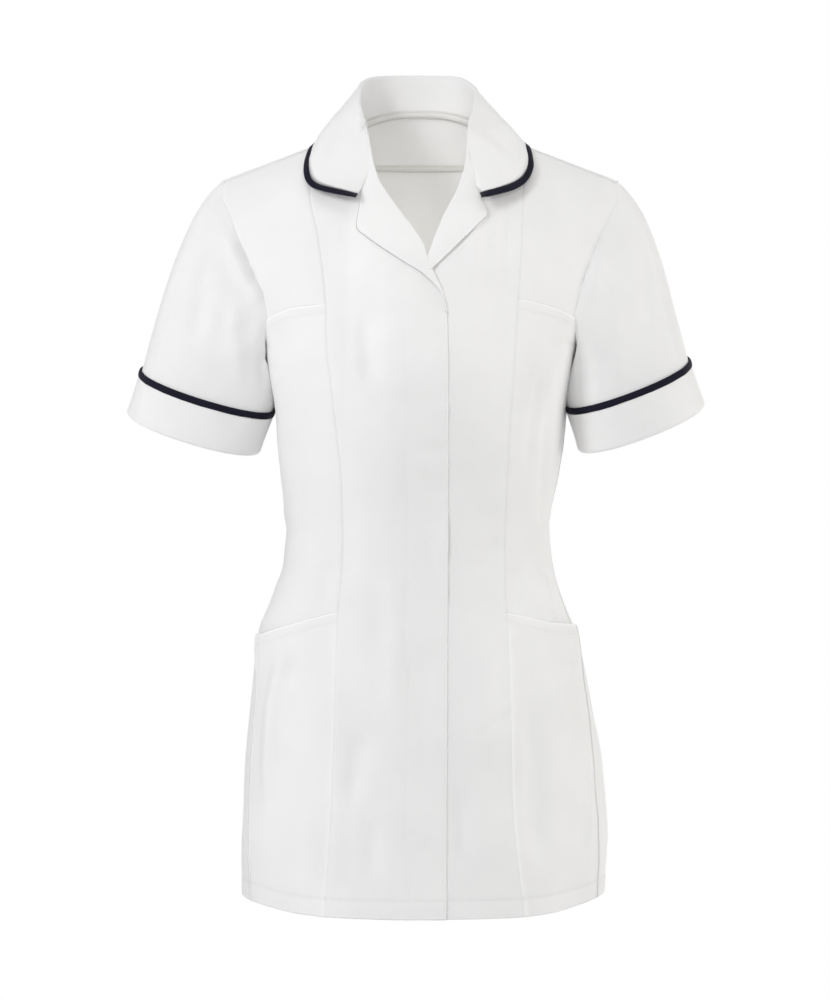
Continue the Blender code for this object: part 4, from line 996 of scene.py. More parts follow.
# ---- fronts ----
def placket(points, d_in):
    """How far the overlapping front stands off, with its uneven edge and stitched fly."""
    x, z = points[..., 0], points[..., 2]
    lift_off = ramp(z, *PLACKET_TOP)
    ripple = pucker("fly", x - PLACKET_MIDDLE_X, z) + pucker("fly_fine", x - PLACKET_MIDDLE_X, z)
    calm = 1.0 - 0.7 * ramp(z, *PLACKET_CALM)
    edge = read(EDGE_RIPPLE, "raise", z) * ramp(d_in, 20.0, 0.0)
    groove = PLACKET_GROOVE[0] * near_line(x - PLACKET_SEAM_X, PLACKET_GROOVE[1])
    return lift_off * (read(PLACKET, "raise", x) + edge + ripple * calm - groove)


def front(side):
    """Centre front: from the neck and front edge to the princess seam."""
    def inner(z):
        return angle_at(read(FRONT_EDGE, side, z), z)

    def outer(z):
        return sign_of(side) * princess_angle(z, side)

    shares = stops(FRONT_WIDTH) / FRONT_WIDTH
    z = np.concatenate([shoulder_rows(inner, outer, shares),
                        spread(level_rows(UNDERARM_Z - PITCH), shares)])
    a, b = inner(z), outer(z)
    angle = a + (b - a) * shares
    points, normals = placed(angle, z)
    d_in, d_out = across(a, angle, z), across(angle, b, z)
    rise = all_over(points, normals)
    rise += seam_dip(d_out) + pucker("princess_" + side, d_out, z)
    rise += seam_dip(z[0] - z - SHOULDER_SEAM, 0.7)
    rise[:2] -= SHOULDER_SUNK
    rise += hem_relief("front_hem", z, points[..., 0])
    if side == "right":
        rise += placket(points, d_in)
    else:
        x, height = points[..., 0], points[..., 2]
        rise -= UNDER_SUNK * ramp(x, *UNDER_EDGE) * ramp(height, *PLACKET_TOP)
    grid = points + normals * rise[..., None]
    thick = CLOTH + (TWO_LAYERS - CLOTH) * ramp(d_in, *DOUBLE_EDGE)
    # painted shade along the princess seam and the hem's stitch line
    shell("front_%s_panel" % side, grid, thick, side == "left", ["front_" + side],
          near_line(d_out, SEAM_WIDTH) + hem_shade(z))
    lines = [hem_stitches(grid, z)]
    if side == "right":
        on_fly = np.argmin(np.abs(points[..., 0] - PLACKET_SEAM_X), axis=1)
        fly = grid[np.arange(len(grid)), on_fly]
        lines.append(fly[fly[:, 2] < FLY_TOP_Z])
    return grid, lines


def mouth_height(mouth, side, shares):
    """Heights of a pocket mouth at these shares of the side front's width."""
    z = np.full(len(shares), mouth["z"].mean())
    for _ in range(MOUTH_ROUNDS):
        low, high = princess_angle(z, side), outer_angle(z, side, "front")
        place = body(sign_of(side) * (low + (high - low) * shares), z)
        z = read(mouth, "z", np.abs(place[..., 0]))
    return z


def rows_below(mouth, first, level):
    """Rows that follow a pocket mouth, then even out to level ones."""
    top = mouth - MOUTH_STEPS[:, None]
    middle = top[-1] + (first - top[-1]) * np.linspace(0.0, 1.0, 12)[1:-1, None]
    return np.concatenate([top, middle, spread(level, mouth)])


def side_front(side):
    """Three overlapping layers; each lower one's top edge is a pocket mouth."""
    def inner(z):
        return sign_of(side) * princess_angle(z, side)

    def outer(z):
        return sign_of(side) * outer_angle(z, side, "front")

    shares = np.concatenate([[-TUCK / SIDE_WIDTH], stops(SIDE_WIDTH) / SIDE_WIDTH,
                             [1.0 + TUCK / SIDE_WIDTH]])
    inside = np.clip(shares, 0.0, 1.0)

    def layer(name, node, z, mouth=None, flare=0.0, next_mouth=None):
        """One layer, hemmed at its own pocket mouth and dipping behind the next one."""
        a, b = inner(z), outer(z)
        points, normals = placed(a + (b - a) * shares, z)
        x = points[..., 0]
        at_side = a + (b - a) * inside
        d_in, d_out = across(a, at_side, z), across(at_side, b, z)
        low_half = ramp(z, *LOW_HALF)
        rise = all_over(points, normals)
        rise += seam_dip(d_in) * (1.0 - 0.6 * low_half) + pucker("princess_" + side, d_in, z)
        high, at, wide = FOLDED_EDGE
        rise += high * near_line(d_in - at, wide) * low_half
        rise += seam_dip(d_out, SIDE_SEAM_ROLL) + pucker("side_" + side, d_out, z)
        rise[:, 0] -= TUCK_DEPTH
        over_back = ramp(z[:, -1], UNDERARM_Z + 2.0, UNDERARM_Z - 8.0)
        rise[:, -1] += -TUCK_DEPTH + (TUCK_DEPTH + 0.5) * over_back
        # painted shade along the princess seam above, painted highlight along its folded edge below
        strength, at, wide = FOLDED_PAINTED_HIGHLIGHT
        shade = near_line(d_in, SEAM_WIDTH) * (1.0 - low_half)
        shade -= strength * near_line(d_in - at, wide) * low_half
        thick = CLOTH
        if mouth is None:
            rise[:2] -= SHOULDER_SUNK
        else:
            below = mouth - z
            ends = ramp(inside, 0.0, 0.08) * ramp(inside, 1.0, 0.92)
            hem = ramp(below, MOUTH_HEM + 5.0, MOUTH_HEM)
            rise += hem * (MOUTH_RAISE[0] + MOUTH_RAISE[1] * ends)
            rise -= MOUTH_GROOVE[0] * near_line(below - MOUTH_HEM, MOUTH_GROOVE[1])
            rise += pucker("mouth_" + side, below - MOUTH_HEM, x)
            rise -= MOUTH_ROLL[0] * near_line(below, MOUTH_ROLL[1])
            rise += flare * ramp(inside, 0.3, 1.0) * ramp(below, 55.0, 0.0)
            thick = CLOTH + 0.2 * hem
            # painted shade along the mouth's stitch line and a painted highlight on its edge
            for strength, at, wide in MOUTH_PAINTED_SHADE_AND_HIGHLIGHT:
                shade += strength * near_line(below - at, wide)
        if next_mouth is not None:
            rise -= BEHIND_MOUTH * ramp(z, next_mouth + 4.0, next_mouth - 1.0)
        rise += hem_relief("side_hem", z, x)
        # painted shade along the hem's stitch line
        shade += hem_shade(z)
        grid = points + normals * rise[..., None]
        shell("%s_%s" % (name, side), grid, thick, side == "left", ["%s_%s" % (node, side)],
              shade)
        return grid

    chest = mouth_height(CHEST_MOUTH[side], side, inside)
    hip = mouth_height(HIP_MOUTH[side], side, inside)
    behind_chest = np.linspace(UNDERARM_Z - PITCH, CHEST_BAG_Z, 10)
    z = np.concatenate([shoulder_rows(inner, outer, inside), spread(behind_chest, shares)])
    upper = layer("shoulder_panel", "side_front_upper", z, next_mouth=chest)
    behind_hip = np.linspace(BELOW_CHEST_MOUTH, HIP_BAG_Z,
                             int((BELOW_CHEST_MOUTH - HIP_BAG_Z) / PITCH))
    z = rows_below(chest, BELOW_CHEST_MOUTH, behind_hip)
    middle = layer("chest_pocket_panel", "side_front_middle", z, chest, CHEST_FLARE, hip)
    z = rows_below(hip, BELOW_HIP_MOUTH, level_rows(BELOW_HIP_MOUTH))
    lower = layer("hip_pocket_panel", "side_front_lower", z, hip, HIP_FLARE[side])
    lines = [middle[MOUTH_STITCHES, 1:-1], lower[MOUTH_STITCHES, 1:-1],
             hem_stitches(lower, z)[1:-1]]
    return upper, lines, (middle, lower)


# ---- back ----
BACK_OVER = np.concatenate([-SEAM_FORWARD + np.array([0.0, 0.7, 1.6, 3.0]),
                            np.linspace(-SEAM_FORWARD + 5.5, 28.0, 10)])
NECK_X = np.linspace(0.0, 62.0, 20)
SHOULDER_COLUMN_X = np.concatenate([[67.0], np.linspace(70.5, 184.0, 33),
                                    [187.0, 188.6, 189.5, 190.0]])
NECK_DEPTH = 13.0
NECK_DROPS = np.concatenate([[0.0, 0.7, 1.6, 3.0], np.linspace(4.0, NECK_DEPTH, 10)])
BACK_HALF = 150.0          # the back's half width, for distances from the side seam


def neck_height(x):
    """Height of the back's neck edge."""
    return read(NECK_EDGE, "z", np.abs(x))


def back_column(x_top, side):
    """One column of the back: over the ridge or from the neck edge, then to the hem."""
    sign = sign_of(side)
    on_shoulder = x_top > NECK_X[-1]
    if on_shoulder:
        start = float(over_ridge(x_top, BACK_OVER[-1]))
    else:
        start = float(neck_height(x_top)) - NECK_DEPTH
    own = abs(float(angle_at(sign * x_top, start)))
    share = own / (180.0 - float(outer_angle(start, side, "back")))
    if x_top == SHOULDER_COLUMN_X[-1]:
        share = 1.0
    if x_top > SHOULDER_COLUMN_X[-5]:
        share = min(share, 1.0 - (SHOULDER_COLUMN_X[-1] - x_top) / BACK_HALF)
    turn = sign if x_top > 0 else 1.0

    def back_angle(z):
        return turn * (180.0 - share * (180.0 - outer_angle(z, side, "back")))

    if on_shoulder:
        reach = float(body(sign * (180.0 - own), start)[1]) / BACK_OVER[-1]
        z = over_ridge(x_top, BACK_OVER)
        near = 1.0 + (reach - 1.0) * np.maximum(0.0, BACK_OVER / BACK_OVER[-1])
        x = np.full(len(z), sign * x_top)
        top, facing = np.stack([x, BACK_OVER * near, z], axis=-1), ridge_normals(x, BACK_OVER)
    else:
        z = float(neck_height(x_top)) - NECK_DROPS
        top, facing = body(back_angle(z), z), body_normal(back_angle(z), z)
    high = start + (UNDERARM_Z - start) * UPPER[3:]
    zs = np.concatenate([high, level_rows(UNDERARM_Z - PITCH)])
    points, normals = placed(back_angle(zs), zs)
    return (np.concatenate([top, points]), np.concatenate([facing, normals]),
            np.concatenate([z, zs]), np.full(len(z) + len(zs), share))


def back():
    """The back, in one piece from armhole to armhole."""
    tops = np.concatenate([NECK_X, SHOULDER_COLUMN_X])
    columns = [back_column(x, "right") for x in tops[::-1]]
    columns += [back_column(x, "left") for x in tops[1:]]
    points, normals, z, share = (np.stack([c[k] for c in columns], axis=1) for k in range(4))
    rise = all_over(points, normals)
    below_top = np.arange(len(z))[:, None] >= len(BACK_OVER)
    side_gap = (1.0 - share) * BACK_HALF
    rise += seam_dip(side_gap, SIDE_SEAM_ROLL) * below_top
    is_right = np.arange(points.shape[1]) < points.shape[1] // 2
    rise += np.where(is_right, pucker("side_right", side_gap, z),
                     pucker("side_left", side_gap, z)) * below_top
    rise[:2] -= NECK_SUNK
    rise += hem_relief("back_hem", z, points[..., 0])
    grid = points + normals * rise[..., None]
    # painted shade along the hem's stitch line
    shell("back_panel", grid, CLOTH, False, ["back"], hem_shade(z))
    return grid, [hem_stitches(grid, z)]


# ---- sleeves, cuffs and their bindings ----
def resampled(loop, count):
    """A closed line at even spacing, starting where it starts."""
    ring = np.concatenate([loop, loop[:1]])
    length = travelled(ring)
    return along_straights(length, ring, np.linspace(0.0, length[-1], count, endpoint=False))


def ring_point(side, which, turn, grow=0.0):
    """Point of a sleeve ring: turn 0 is the outer side, 90 the front, 180 the inner."""
    ring = {name: values[which] for name, values in SLEEVE_RINGS[side].items()}
    tilt = math.radians(RING_TILT[side])
    sign = sign_of(side)
    across = np.array([sign * math.cos(tilt), 0.0, math.sin(tilt)])
    forward = np.array([0.0, -1.0, -RING_FRONT_DROP])
    turn = np.radians(np.asarray(turn, float))
    c, s = np.cos(turn), np.sin(turn)
    c = np.sign(c) * np.abs(c) ** RING_POWER
    s = np.sign(s) * np.abs(s) ** RING_POWER
    centre = np.array([sign * ring["x"], ring["y"], ring["z"]])
    wide = (ring["half_width"] + grow) * c
    deep = (ring["half_depth"] + grow) * s
    return centre + wide[..., None] * across + deep[..., None] * forward


def between_rings(side, first, last, turn, grow, steps):
    """Rows of points from one ring of a sleeve to another."""
    start, end = ring_point(side, first, turn, grow), ring_point(side, last, turn, grow)
    return np.stack([start + (end - start) * t for t in steps])


def fold_ridge(turn):
    """The folds pressed down each sleeve, in front and behind, by the turn round it."""
    front_fold, back_fold = ((turn + at + 180.0) % 360.0 - 180.0 for at in (-FOLD_TURN, FOLD_TURN))
    return (FOLD_HIGH[0] * np.exp(-np.abs(front_fold) / FOLD_FADE)
            + FOLD_HIGH[1] * np.exp(-np.abs(back_fold) / FOLD_FADE))


def armhole(side, upper, back_grid):
    """The armhole's edge as a closed line, and the turn of each of its points."""
    count = len(UPPER)
    column = back_grid[:, 0 if side == "right" else -1]
    behind = column[:len(BACK_OVER) + count - 3]
    loop = resampled(np.concatenate([behind, upper[1:count, -2][::-1]]), LOOP_POINTS)
    run = np.arange(LOOP_POINTS) / LOOP_POINTS
    low, top = run[np.argmin(loop[:, 2])], run[np.argmax(loop[:, 2])]
    down_back = (low - top) % 1.0
    gone = (run - top) % 1.0
    turn = np.where(gone <= down_back, -180.0 * gone / down_back,
                    180.0 - 180.0 * (gone - down_back) / (1.0 - down_back))
    return loop, turn


def sleeve_tube(side, loop, turn):
    """The sleeve, on smooth curves from the armhole to the cuff."""
    mirror = np.array([sign_of(side), 1, 1])
    away = unit((loop - np.array(ARMHOLE_CENTRE) * mirror) * [0.0, 1.0, 1.0])
    height = ramp(loop[:, 2], *ARMHOLE_TURN)[:, None]
    out, down = np.array(SLEEVE_TOP_PULL) * mirror, np.array(UNDERARM_PULL) * mirror
    pull = out * (1 - height) * SLEEVE_PULL[0] + down * height * SLEEVE_PULL[1]
    pull += away * [[0.0, SLEEVE_SPREAD, 0.0]] * (1 - height)
    facing = unit(np.cross(np.roll(loop, -1, axis=0) - np.roll(loop, 1, axis=0), pull))
    facing *= np.sign(np.einsum("ij,ij->i", facing, away + 0.3 * out))[:, None]
    start = loop - facing * SLEEVE_SUNK
    end = ring_point(side, BINDING_RING, turn)
    final = unit(ring_point(side, CUFF_END_RING, turn) - end) * SLEEVE_END_PULL
    steps = stops(SLEEVE_LENGTH, end=(0.0,), pitch=3.4) / SLEEVE_LENGTH
    rows = [start - unit(pull) * SLEEVE_TUCK[0] - facing * SLEEVE_TUCK[1]]
    rows += [(2 * t ** 3 - 3 * t ** 2 + 1) * start + (t ** 3 - 2 * t ** 2 + t) * pull
             + (3 * t ** 2 - 2 * t ** 3) * end + (t ** 3 - t ** 2) * final for t in steps]
    tube = np.concatenate([rows, between_rings(side, CUFF_RING, CUFF_END_RING, turn, 0.0, IN_CUFF)])
    normal = grid_normals(tube, True) * -sign_of(side)
    share = np.concatenate([[0.0], steps, np.ones(len(IN_CUFF))])[:, None]
    free = ramp(share, 0.0, 0.12) * ramp(share, 1.0, 0.93)
    rise = uneven(0.0, tube, "sleeve") * (0.25 + 0.75 * free)
    creases = on_grid(SLEEVE_CREASES[side], tube, normal, "front")
    creases += on_grid(SLEEVE_CREASES_BACK[side], tube, normal, "back")
    rise += relief(tube, normal, creases) * ramp(share, 1.0, 0.97)
    rise += fold_ridge(turn) * ramp(share, *FOLD_REACH)
    arm = SLEEVE_LENGTH * share
    rise += pucker("armhole", arm, np.linspace(0, ARMHOLE_GIRTH, LOOP_POINTS) + 0 * arm)
    # painted shade along the armhole seam
    shell("sleeve_panel_" + side, tube + normal * rise[..., None], CLOTH, side == "left",
          ["sleeve_" + side], near_line(arm, 1.6) + np.zeros_like(rise), closed=True)


def cuff_band(side, turn):
    """A band turned double, its lower edge folded."""
    steps = stops(CUFF_LENGTH, start=(0.0, 1.0, 2.5), end=(0.0, 0.5, 1.2, 2.4, 4.5),
                  pitch=3.0) / CUFF_LENGTH
    edge = ((1.0 - steps) * CUFF_LENGTH)[:, None]
    cuff = between_rings(side, CUFF_RING, CUFF_END_RING, turn, CUFF_LIFT, steps)
    around = np.linspace(0.0, CUFF_GIRTH, LOOP_POINTS) + 0 * edge
    rise = uneven(0.0, cuff, "cuff") + fold_ridge(turn)
    rise += pucker("cuff", CUFF_LENGTH - edge, around)
    rise -= CUFF_ROUND[0] * near_line(edge, CUFF_ROUND[1])
    rise += 0.35 * ramp(edge, 12.0, 2.0)
    cuff = cuff + grid_normals(cuff, True) * -sign_of(side) * rise[..., None]
    shell("cuff_band_" + side, cuff, CUFF_THICK, side == "left", ["cuff_" + side], closed=True)


def cuff_binding(side, turn):
    """The navy binding over the cuff's upper edge."""
    around = np.linspace(0.0, CUFF_GIRTH, LOOP_POINTS)
    band = between_rings(side, BINDING_RING, CUFF_RING, turn, CUFF_LIFT + BINDING_LIFT,
                         BINDING_STEPS)
    rise = BINDING_ARCH[:, None] + fold_ridge(turn) + 0.12 * noise(around, 8.0, 45)
    band = band + grid_normals(band, True) * -sign_of(side) * rise[..., None]
    navy_band("cuff_binding_" + side, band, BINDING_THICK, side == "left", ["cuff_trim_" + side],
              closed=True)


# ---- collar and lapels ----
def settle(points, tree, clearance):
    """Move points forward or back until they lie this high above the pieces in the tree."""
    settled = np.array(points, float)
    for _ in range(SETTLE_STEPS):
        for point, clear in zip(settled, clearance):
            place, normal, _index, _distance = tree.find_nearest(Vector(point))
            height = (Vector(point) - place).dot(normal)
            point[1] += (clear - height) * normal.y
    return settled


def lift(points, tree, clearance):
    """Move points out until they clear the pieces in the tree."""
    moved = np.array(points, float)
    flat = moved.reshape(-1, 3)
    for _ in range(LIFT_STEPS):
        for k, point in enumerate(flat):
            place, normal, _index, distance = tree.find_nearest(Vector(point))
            height = (Vector(point) - place).dot(normal)
            if height < clearance[k] and distance < LIFT_REACH:
                flat[k] = point + np.array(normal) * (clearance[k] - height)
    return flat.reshape(moved.shape)


def smoothed(points, rounds=2):
    """A grid of points with its small steps softened along each row."""
    for _ in range(rounds):
        middle = (points[:, :-2] + 2 * points[:, 1:-1] + points[:, 2:]) / 4
        points = np.concatenate([points[:, :1], middle, points[:, -1:]], axis=1)
    return points


def collar_lines(shares):
    """The collar's neck seam, roll line and outer edge, from its right end to its left."""
    ends = {}
    for side in ("right", "left"):
        sign = sign_of(side)
        ends[side] = [((x - sign * pull, y, z),
                       (far - sign * DROP_INWARD * drop, front - DROP_FORWARD * drop, low - drop))
                      for ((x, y, z), (far, front, low)), pull, drop
                      in zip(GORGE[side], GORGE_PULL[side], GORGE_DROP[side])]
    lines = []
    for k, on_gorge in enumerate((0, 0, 1)):
        line = [row[on_gorge] for row in reversed(ends["right"])]
        line += [row[k] for row in reversed(COLLAR["right"])]
        line += [COLLAR_CENTRE[k]] + [row[k] for row in COLLAR["left"]]
        line += [row[on_gorge] for row in ends["left"]]
        lines.append(along_curves(np.linspace(0.0, 1.0, len(line)), line, shares))
    return lines


def binding_share(shares, start, outer):
    """Share of the collar's fall that its binding covers, allowing for columns that lean."""
    width = np.linalg.norm(outer - start, axis=1, keepdims=True)
    edge = unit(np.gradient(outer, axis=0))
    lean = np.linalg.norm(np.cross(edge, (outer - start) / width), axis=1, keepdims=True)
    wide = COLLAR_BINDING + END_BINDING["right"] * ramp(shares, *END_SHARES)[:, None]
    wide += END_BINDING["left"] * ramp(1 - shares, *END_SHARES)[:, None]
    return np.minimum(wide / lean.clip(0.5), 0.5 * width) / width


def collar(tree):
    """One doubled sheet from the neck seam up over the roll line and out to its bound edge."""
    shares = np.linspace(0.0, 1.0, FALL_COLUMNS)
    from_end = np.minimum(shares, 1 - shares)[:, None]
    neck, roll, outer = collar_lines(shares)
    at_rest = settle(roll, tree, np.full(len(roll), TWO_LAYERS + GORGE_LAID))
    roll = roll + (at_rest - roll) * ramp(from_end, *LAID_SHARES)
    across_sheet = outer - roll
    normal = unit(np.cross(np.gradient(roll, axis=0) + np.gradient(outer, axis=0), across_sheet))
    normal *= np.where(normal[:, 2:3] < 0, -1.0, 1.0)
    level = unit(across_sheet * [[1.0, 1.0, 0.0]])
    up = np.array([[0.0, 0.0, 1.0]])

    # the stand and the roll; near its ends the collar is one flat sheet
    steps = [neck - down * up - level * inward for down, inward in STAND_TUCK]
    steps += [neck + (roll - STAND_TOP * up - neck) * t for t in STAND_STEPS]
    steps += [roll + level * out + up * rise for out, rise in FOLD_ARC]
    folded = ramp(from_end, *FOLD_SHARES)
    tucked = -up * near_line(from_end - TUCK_SHARE, TUCK_SPREAD)
    stand = []
    for k, row in enumerate(steps):
        flat = roll + across_sheet * FLAT_ROW * k
        sink = max(0.0, TUCK_LOW - TUCK_FADE * k)
        stand.append(folded * row + (1 - folded) * flat + tucked * sink)
    stand = np.array(stand)

    # the fall, and the binding over its edge
    start = stand[-1]
    bound = binding_share(shares, start, outer)
    near_gorge = ramp(from_end, *GORGE_SHARES)
    arch = FALL_BULGE * (1.0 - 0.7 * near_gorge)
    places = [t * (1.0 - bound) * FALL_STRETCH for t in FALL_STEPS]
    places += [1.0 - bound + bound * t for t in COLLAR_BINDING_STEPS]
    whole = np.array([start + (outer - start) * at
                      + normal * (arch * np.sin(math.pi * np.minimum(at, 1.0))) for at in places])
    clear = TWO_LAYERS + COLLAR_CLEARANCE * (1.0 - 0.8 * near_gorge[:, 0])
    whole = smoothed(lift(whole, tree, np.broadcast_to(clear, whole.shape[:2]).ravel()), 5)
    fall, band = whole[:len(FALL_STEPS)], whole[len(FALL_STEPS):]

    sheet = np.concatenate([stand, fall])
    facing = grid_normals(sheet)
    free = (np.arange(len(sheet)) >= len(stand)).astype(float)[:, None]
    rise = uneven(0.0, sheet, "collar") * (0.3 + 0.7 * free)
    rise += relief(sheet, facing, on_grid(COLLAR_CREASES, sheet, facing, "front"))
    from_edge = np.linalg.norm(sheet - band[0], axis=-1)
    run = travelled(band[0])
    for kind in ("collar", "collar_long"):
        rise += pucker(kind, from_edge, np.broadcast_to(run, rise.shape)) * free
    sheet = sheet + facing * rise[..., None]
    # painted shade along the edge of the binding
    shell("collar_sheet", sheet, TWO_LAYERS, False, ["collar_fall", "collar_stand"],
          near_line(from_edge, 2.0) * free)
    wave = 0.12 * noise(run, 9.0, 64) + 0.5 * noise(run, 26.0, 63) * 0.7
    rise = COLLAR_BINDING_ARCH[:, None] + COLLAR_BINDING_LIFT + wave
    band = band + grid_normals(band) * rise[..., None]
    navy_band("collar_binding", band, COLLAR_BINDING_THICK, False, ["collar_trim"])
    return sheet


def lapel(side, tree):
    """One lapel, turned back along its roll line and lying on the fronts."""
    roll, edge = np.array(LAPEL[side], float).transpose(1, 0, 2)
    knots = np.linspace(0.0, 1.0, len(roll))
    tip = knots[LAPEL_TIP]
    shares = np.concatenate([np.linspace(0.0, tip, LAPEL_COLUMNS),
                             np.linspace(tip, 1.0, LAPEL_COLUMNS)[1:]])
    roll_at, edge_at = along_curves(knots, roll, shares), along_straights(knots, edge, shares)
    seamed = ramp(shares, *(knots[LAPEL_GORGE] + np.array(LAPEL_BLEND)))
    edge_at = edge_at + np.array([sign_of(side) * GORGE_TUCK, 0.0, 0.0]) * seamed[:, None]
    grid = np.stack([roll_at + (edge_at - roll_at) * t for t in LAPEL_STEPS])
    sunk = LAPEL_SINK[side] * ramp(shares, *LAPEL_SINK_SHARES[side])
    for line, t in zip(grid, LAPEL_STEPS):
        clear = LAPEL_THICK + LAPEL_CLEARANCE + LAPEL_STAND_OFF * t * (1.0 - seamed) - sunk
        clear = clear - LAPEL_TOP_SINK[0] * ramp(shares, LAPEL_TOP_SINK[1], 0.0)
        clear = clear - (clear - GORGE_HEIGHT) * seamed * ramp(t, 0.25, 0.9)
        line[:] = settle(line, tree, clear)
    grid = smoothed(grid, 1)
    normal = grid_normals(grid)
    normal = normal * -np.sign(normal[..., 1].mean())
    width = np.linalg.norm(edge_at - roll_at, axis=1)
    share = np.array(LAPEL_STEPS)[:, None]
    soft = np.minimum(1.0, width / 12.0)
    rise = uneven(0.0, grid, "lapel") * soft * ramp(share, 0.0, 0.3)
    rise += 0.5 * np.sin(math.pi * share) * soft
    grid = grid + normal * rise[..., None]
    away = unit(grid[0] - grid[1])
    turned = [grid[0] + away * out - normal[0] * under for out, under in LAPEL_TURN]
    shell("lapel_sheet_" + side, np.concatenate([turned, grid]), LAPEL_THICK, side == "right",
          ["lapel_" + side])


def back_facing():
    """Inside the back neck: a straight overlocked lower edge."""
    shares = np.linspace(-1.0, 1.0, FACING_COLUMNS)
    down = np.concatenate([np.linspace(0.0, 0.9, 14), [0.94, 0.97, 1.0]])[:, None]
    x = shares * (FACING_HALF - FACING_TAPER * (1.0 - down))
    top = neck_height(x) - FACING_DROP
    z = top + (FACING_BOTTOM_Z - top) * down
    turn = 180.0 - np.abs(angle_at(x, z))
    angle = np.where(shares < 0, -turn, turn)
    grid = body(angle, z)
    rise = uneven(-FACING_SUNK, grid, "facing")
    grid = grid + body_normal(angle, z) * rise[..., None]
    shell("back_neck_facing", grid, CLOTH, False, ["back_facing"])
    return grid


# ---- stitches and studs ----
def circle(centre, first, second, radius, count):
    """Points of a circle in the plane of two directions."""
    turns = [2 * math.pi * k / count for k in range(count)]
    return [centre + (first * math.cos(turn) + second * math.sin(turn)) * radius
            for turn in turns]


def ring_faces(base, rings, count):
    """Faces between rings of points, numbered from base, and a cap at each end."""
    index = base + np.arange(rings * count).reshape(rings, count)
    faces = quads_of(index, closed=True).tolist()
    return faces + [index[0, ::-1].tolist(), index[-1].tolist()]


def stitches(name, lines, tree, material, pitch=2.9, long=2.2, thick=0.2, tilt=0.0, proud=0.12):
    """Short threads lying along seams, sunk a little into the cloth at their ends."""
    points, faces = [], []
    for line in lines:
        length = travelled(line)
        line = along_straights(length, line, np.arange(0.0, length[-1], pitch))
        for place, toward in zip(line, unit(np.gradient(line, axis=0))):
            near, facing, _index, _distance = tree.find_nearest(Vector(place))
            facing = np.array(facing)
            side = unit(np.cross(facing, toward))
            toward = np.cross(side, facing)
            along = toward * math.cos(tilt) + side * math.sin(tilt)
            over = np.cross(facing, along)
            faces += ring_faces(len(points), len(THREAD_RINGS), THREAD_SIDES)
            for at, wide, high in THREAD_RINGS:
                centre = np.array(near) + along * at * long + facing * (proud + high)
                points += circle(centre, over, facing, thick * wide, THREAD_SIDES)
    points = np.array(points)
    make(name, points, faces, points[:, [0, 2]], np.zeros(len(points)), material, [])


def overlock(name, lines, tree):
    """The slanting threads of an overlocked edge."""
    stitches(name, lines, tree, SERGED, pitch=2.3, long=3.6, thick=0.42, tilt=1.1, proud=0.4)


def studs(tree):
    """Press studs between the two fronts: a cap with a rolled rim on a small post."""
    for number, z in enumerate(STUD_Z, start=1):
        place, facing, _index, _distance = tree.ray_cast(Vector((STUD_X, -300.0, z)),
                                                         Vector((0.0, 1.0, 0.0)))
        facing = np.array(facing)
        side = unit(np.cross(facing, (0.0, 0.0, 1.0)))
        up = np.cross(facing, side)
        points = []
        for radius, high in STUD_PROFILE:
            points += circle(np.array(place) + facing * (high + STUD_GAP), side, up, radius,
                             STUD_SIDES)
        points = np.array(points)
        make("stud_cap_%d" % number, points, ring_faces(0, len(STUD_PROFILE), STUD_SIDES),
             points[:, [0, 2]], np.zeros(len(points)), STUD_STEEL, ["press_stud_%d" % number])


# ---- materials ----
def add_node(tree, kind, inputs=None, **settings):
    """A new node; an input is given a value, or linked to another node's output."""
    made = tree.nodes.new("ShaderNode" + kind)
    for name, value in settings.items():
        setattr(made, name, value)
    for name, value in (inputs or {}).items():
        if isinstance(value, bpy.types.NodeSocket):
            tree.links.new(value, made.inputs[name])
        else:
            made.inputs[name].default_value = value
    return made


def new_material(name, inputs):
    """A material, its node tree and its shader with these inputs."""
    made = bpy.data.materials.new(name)
    made.use_nodes = True
    shader = made.node_tree.nodes["Principled BSDF"]
    for key, value in inputs.items():
        shader.inputs[key].default_value = value
    return made, made.node_tree, shader


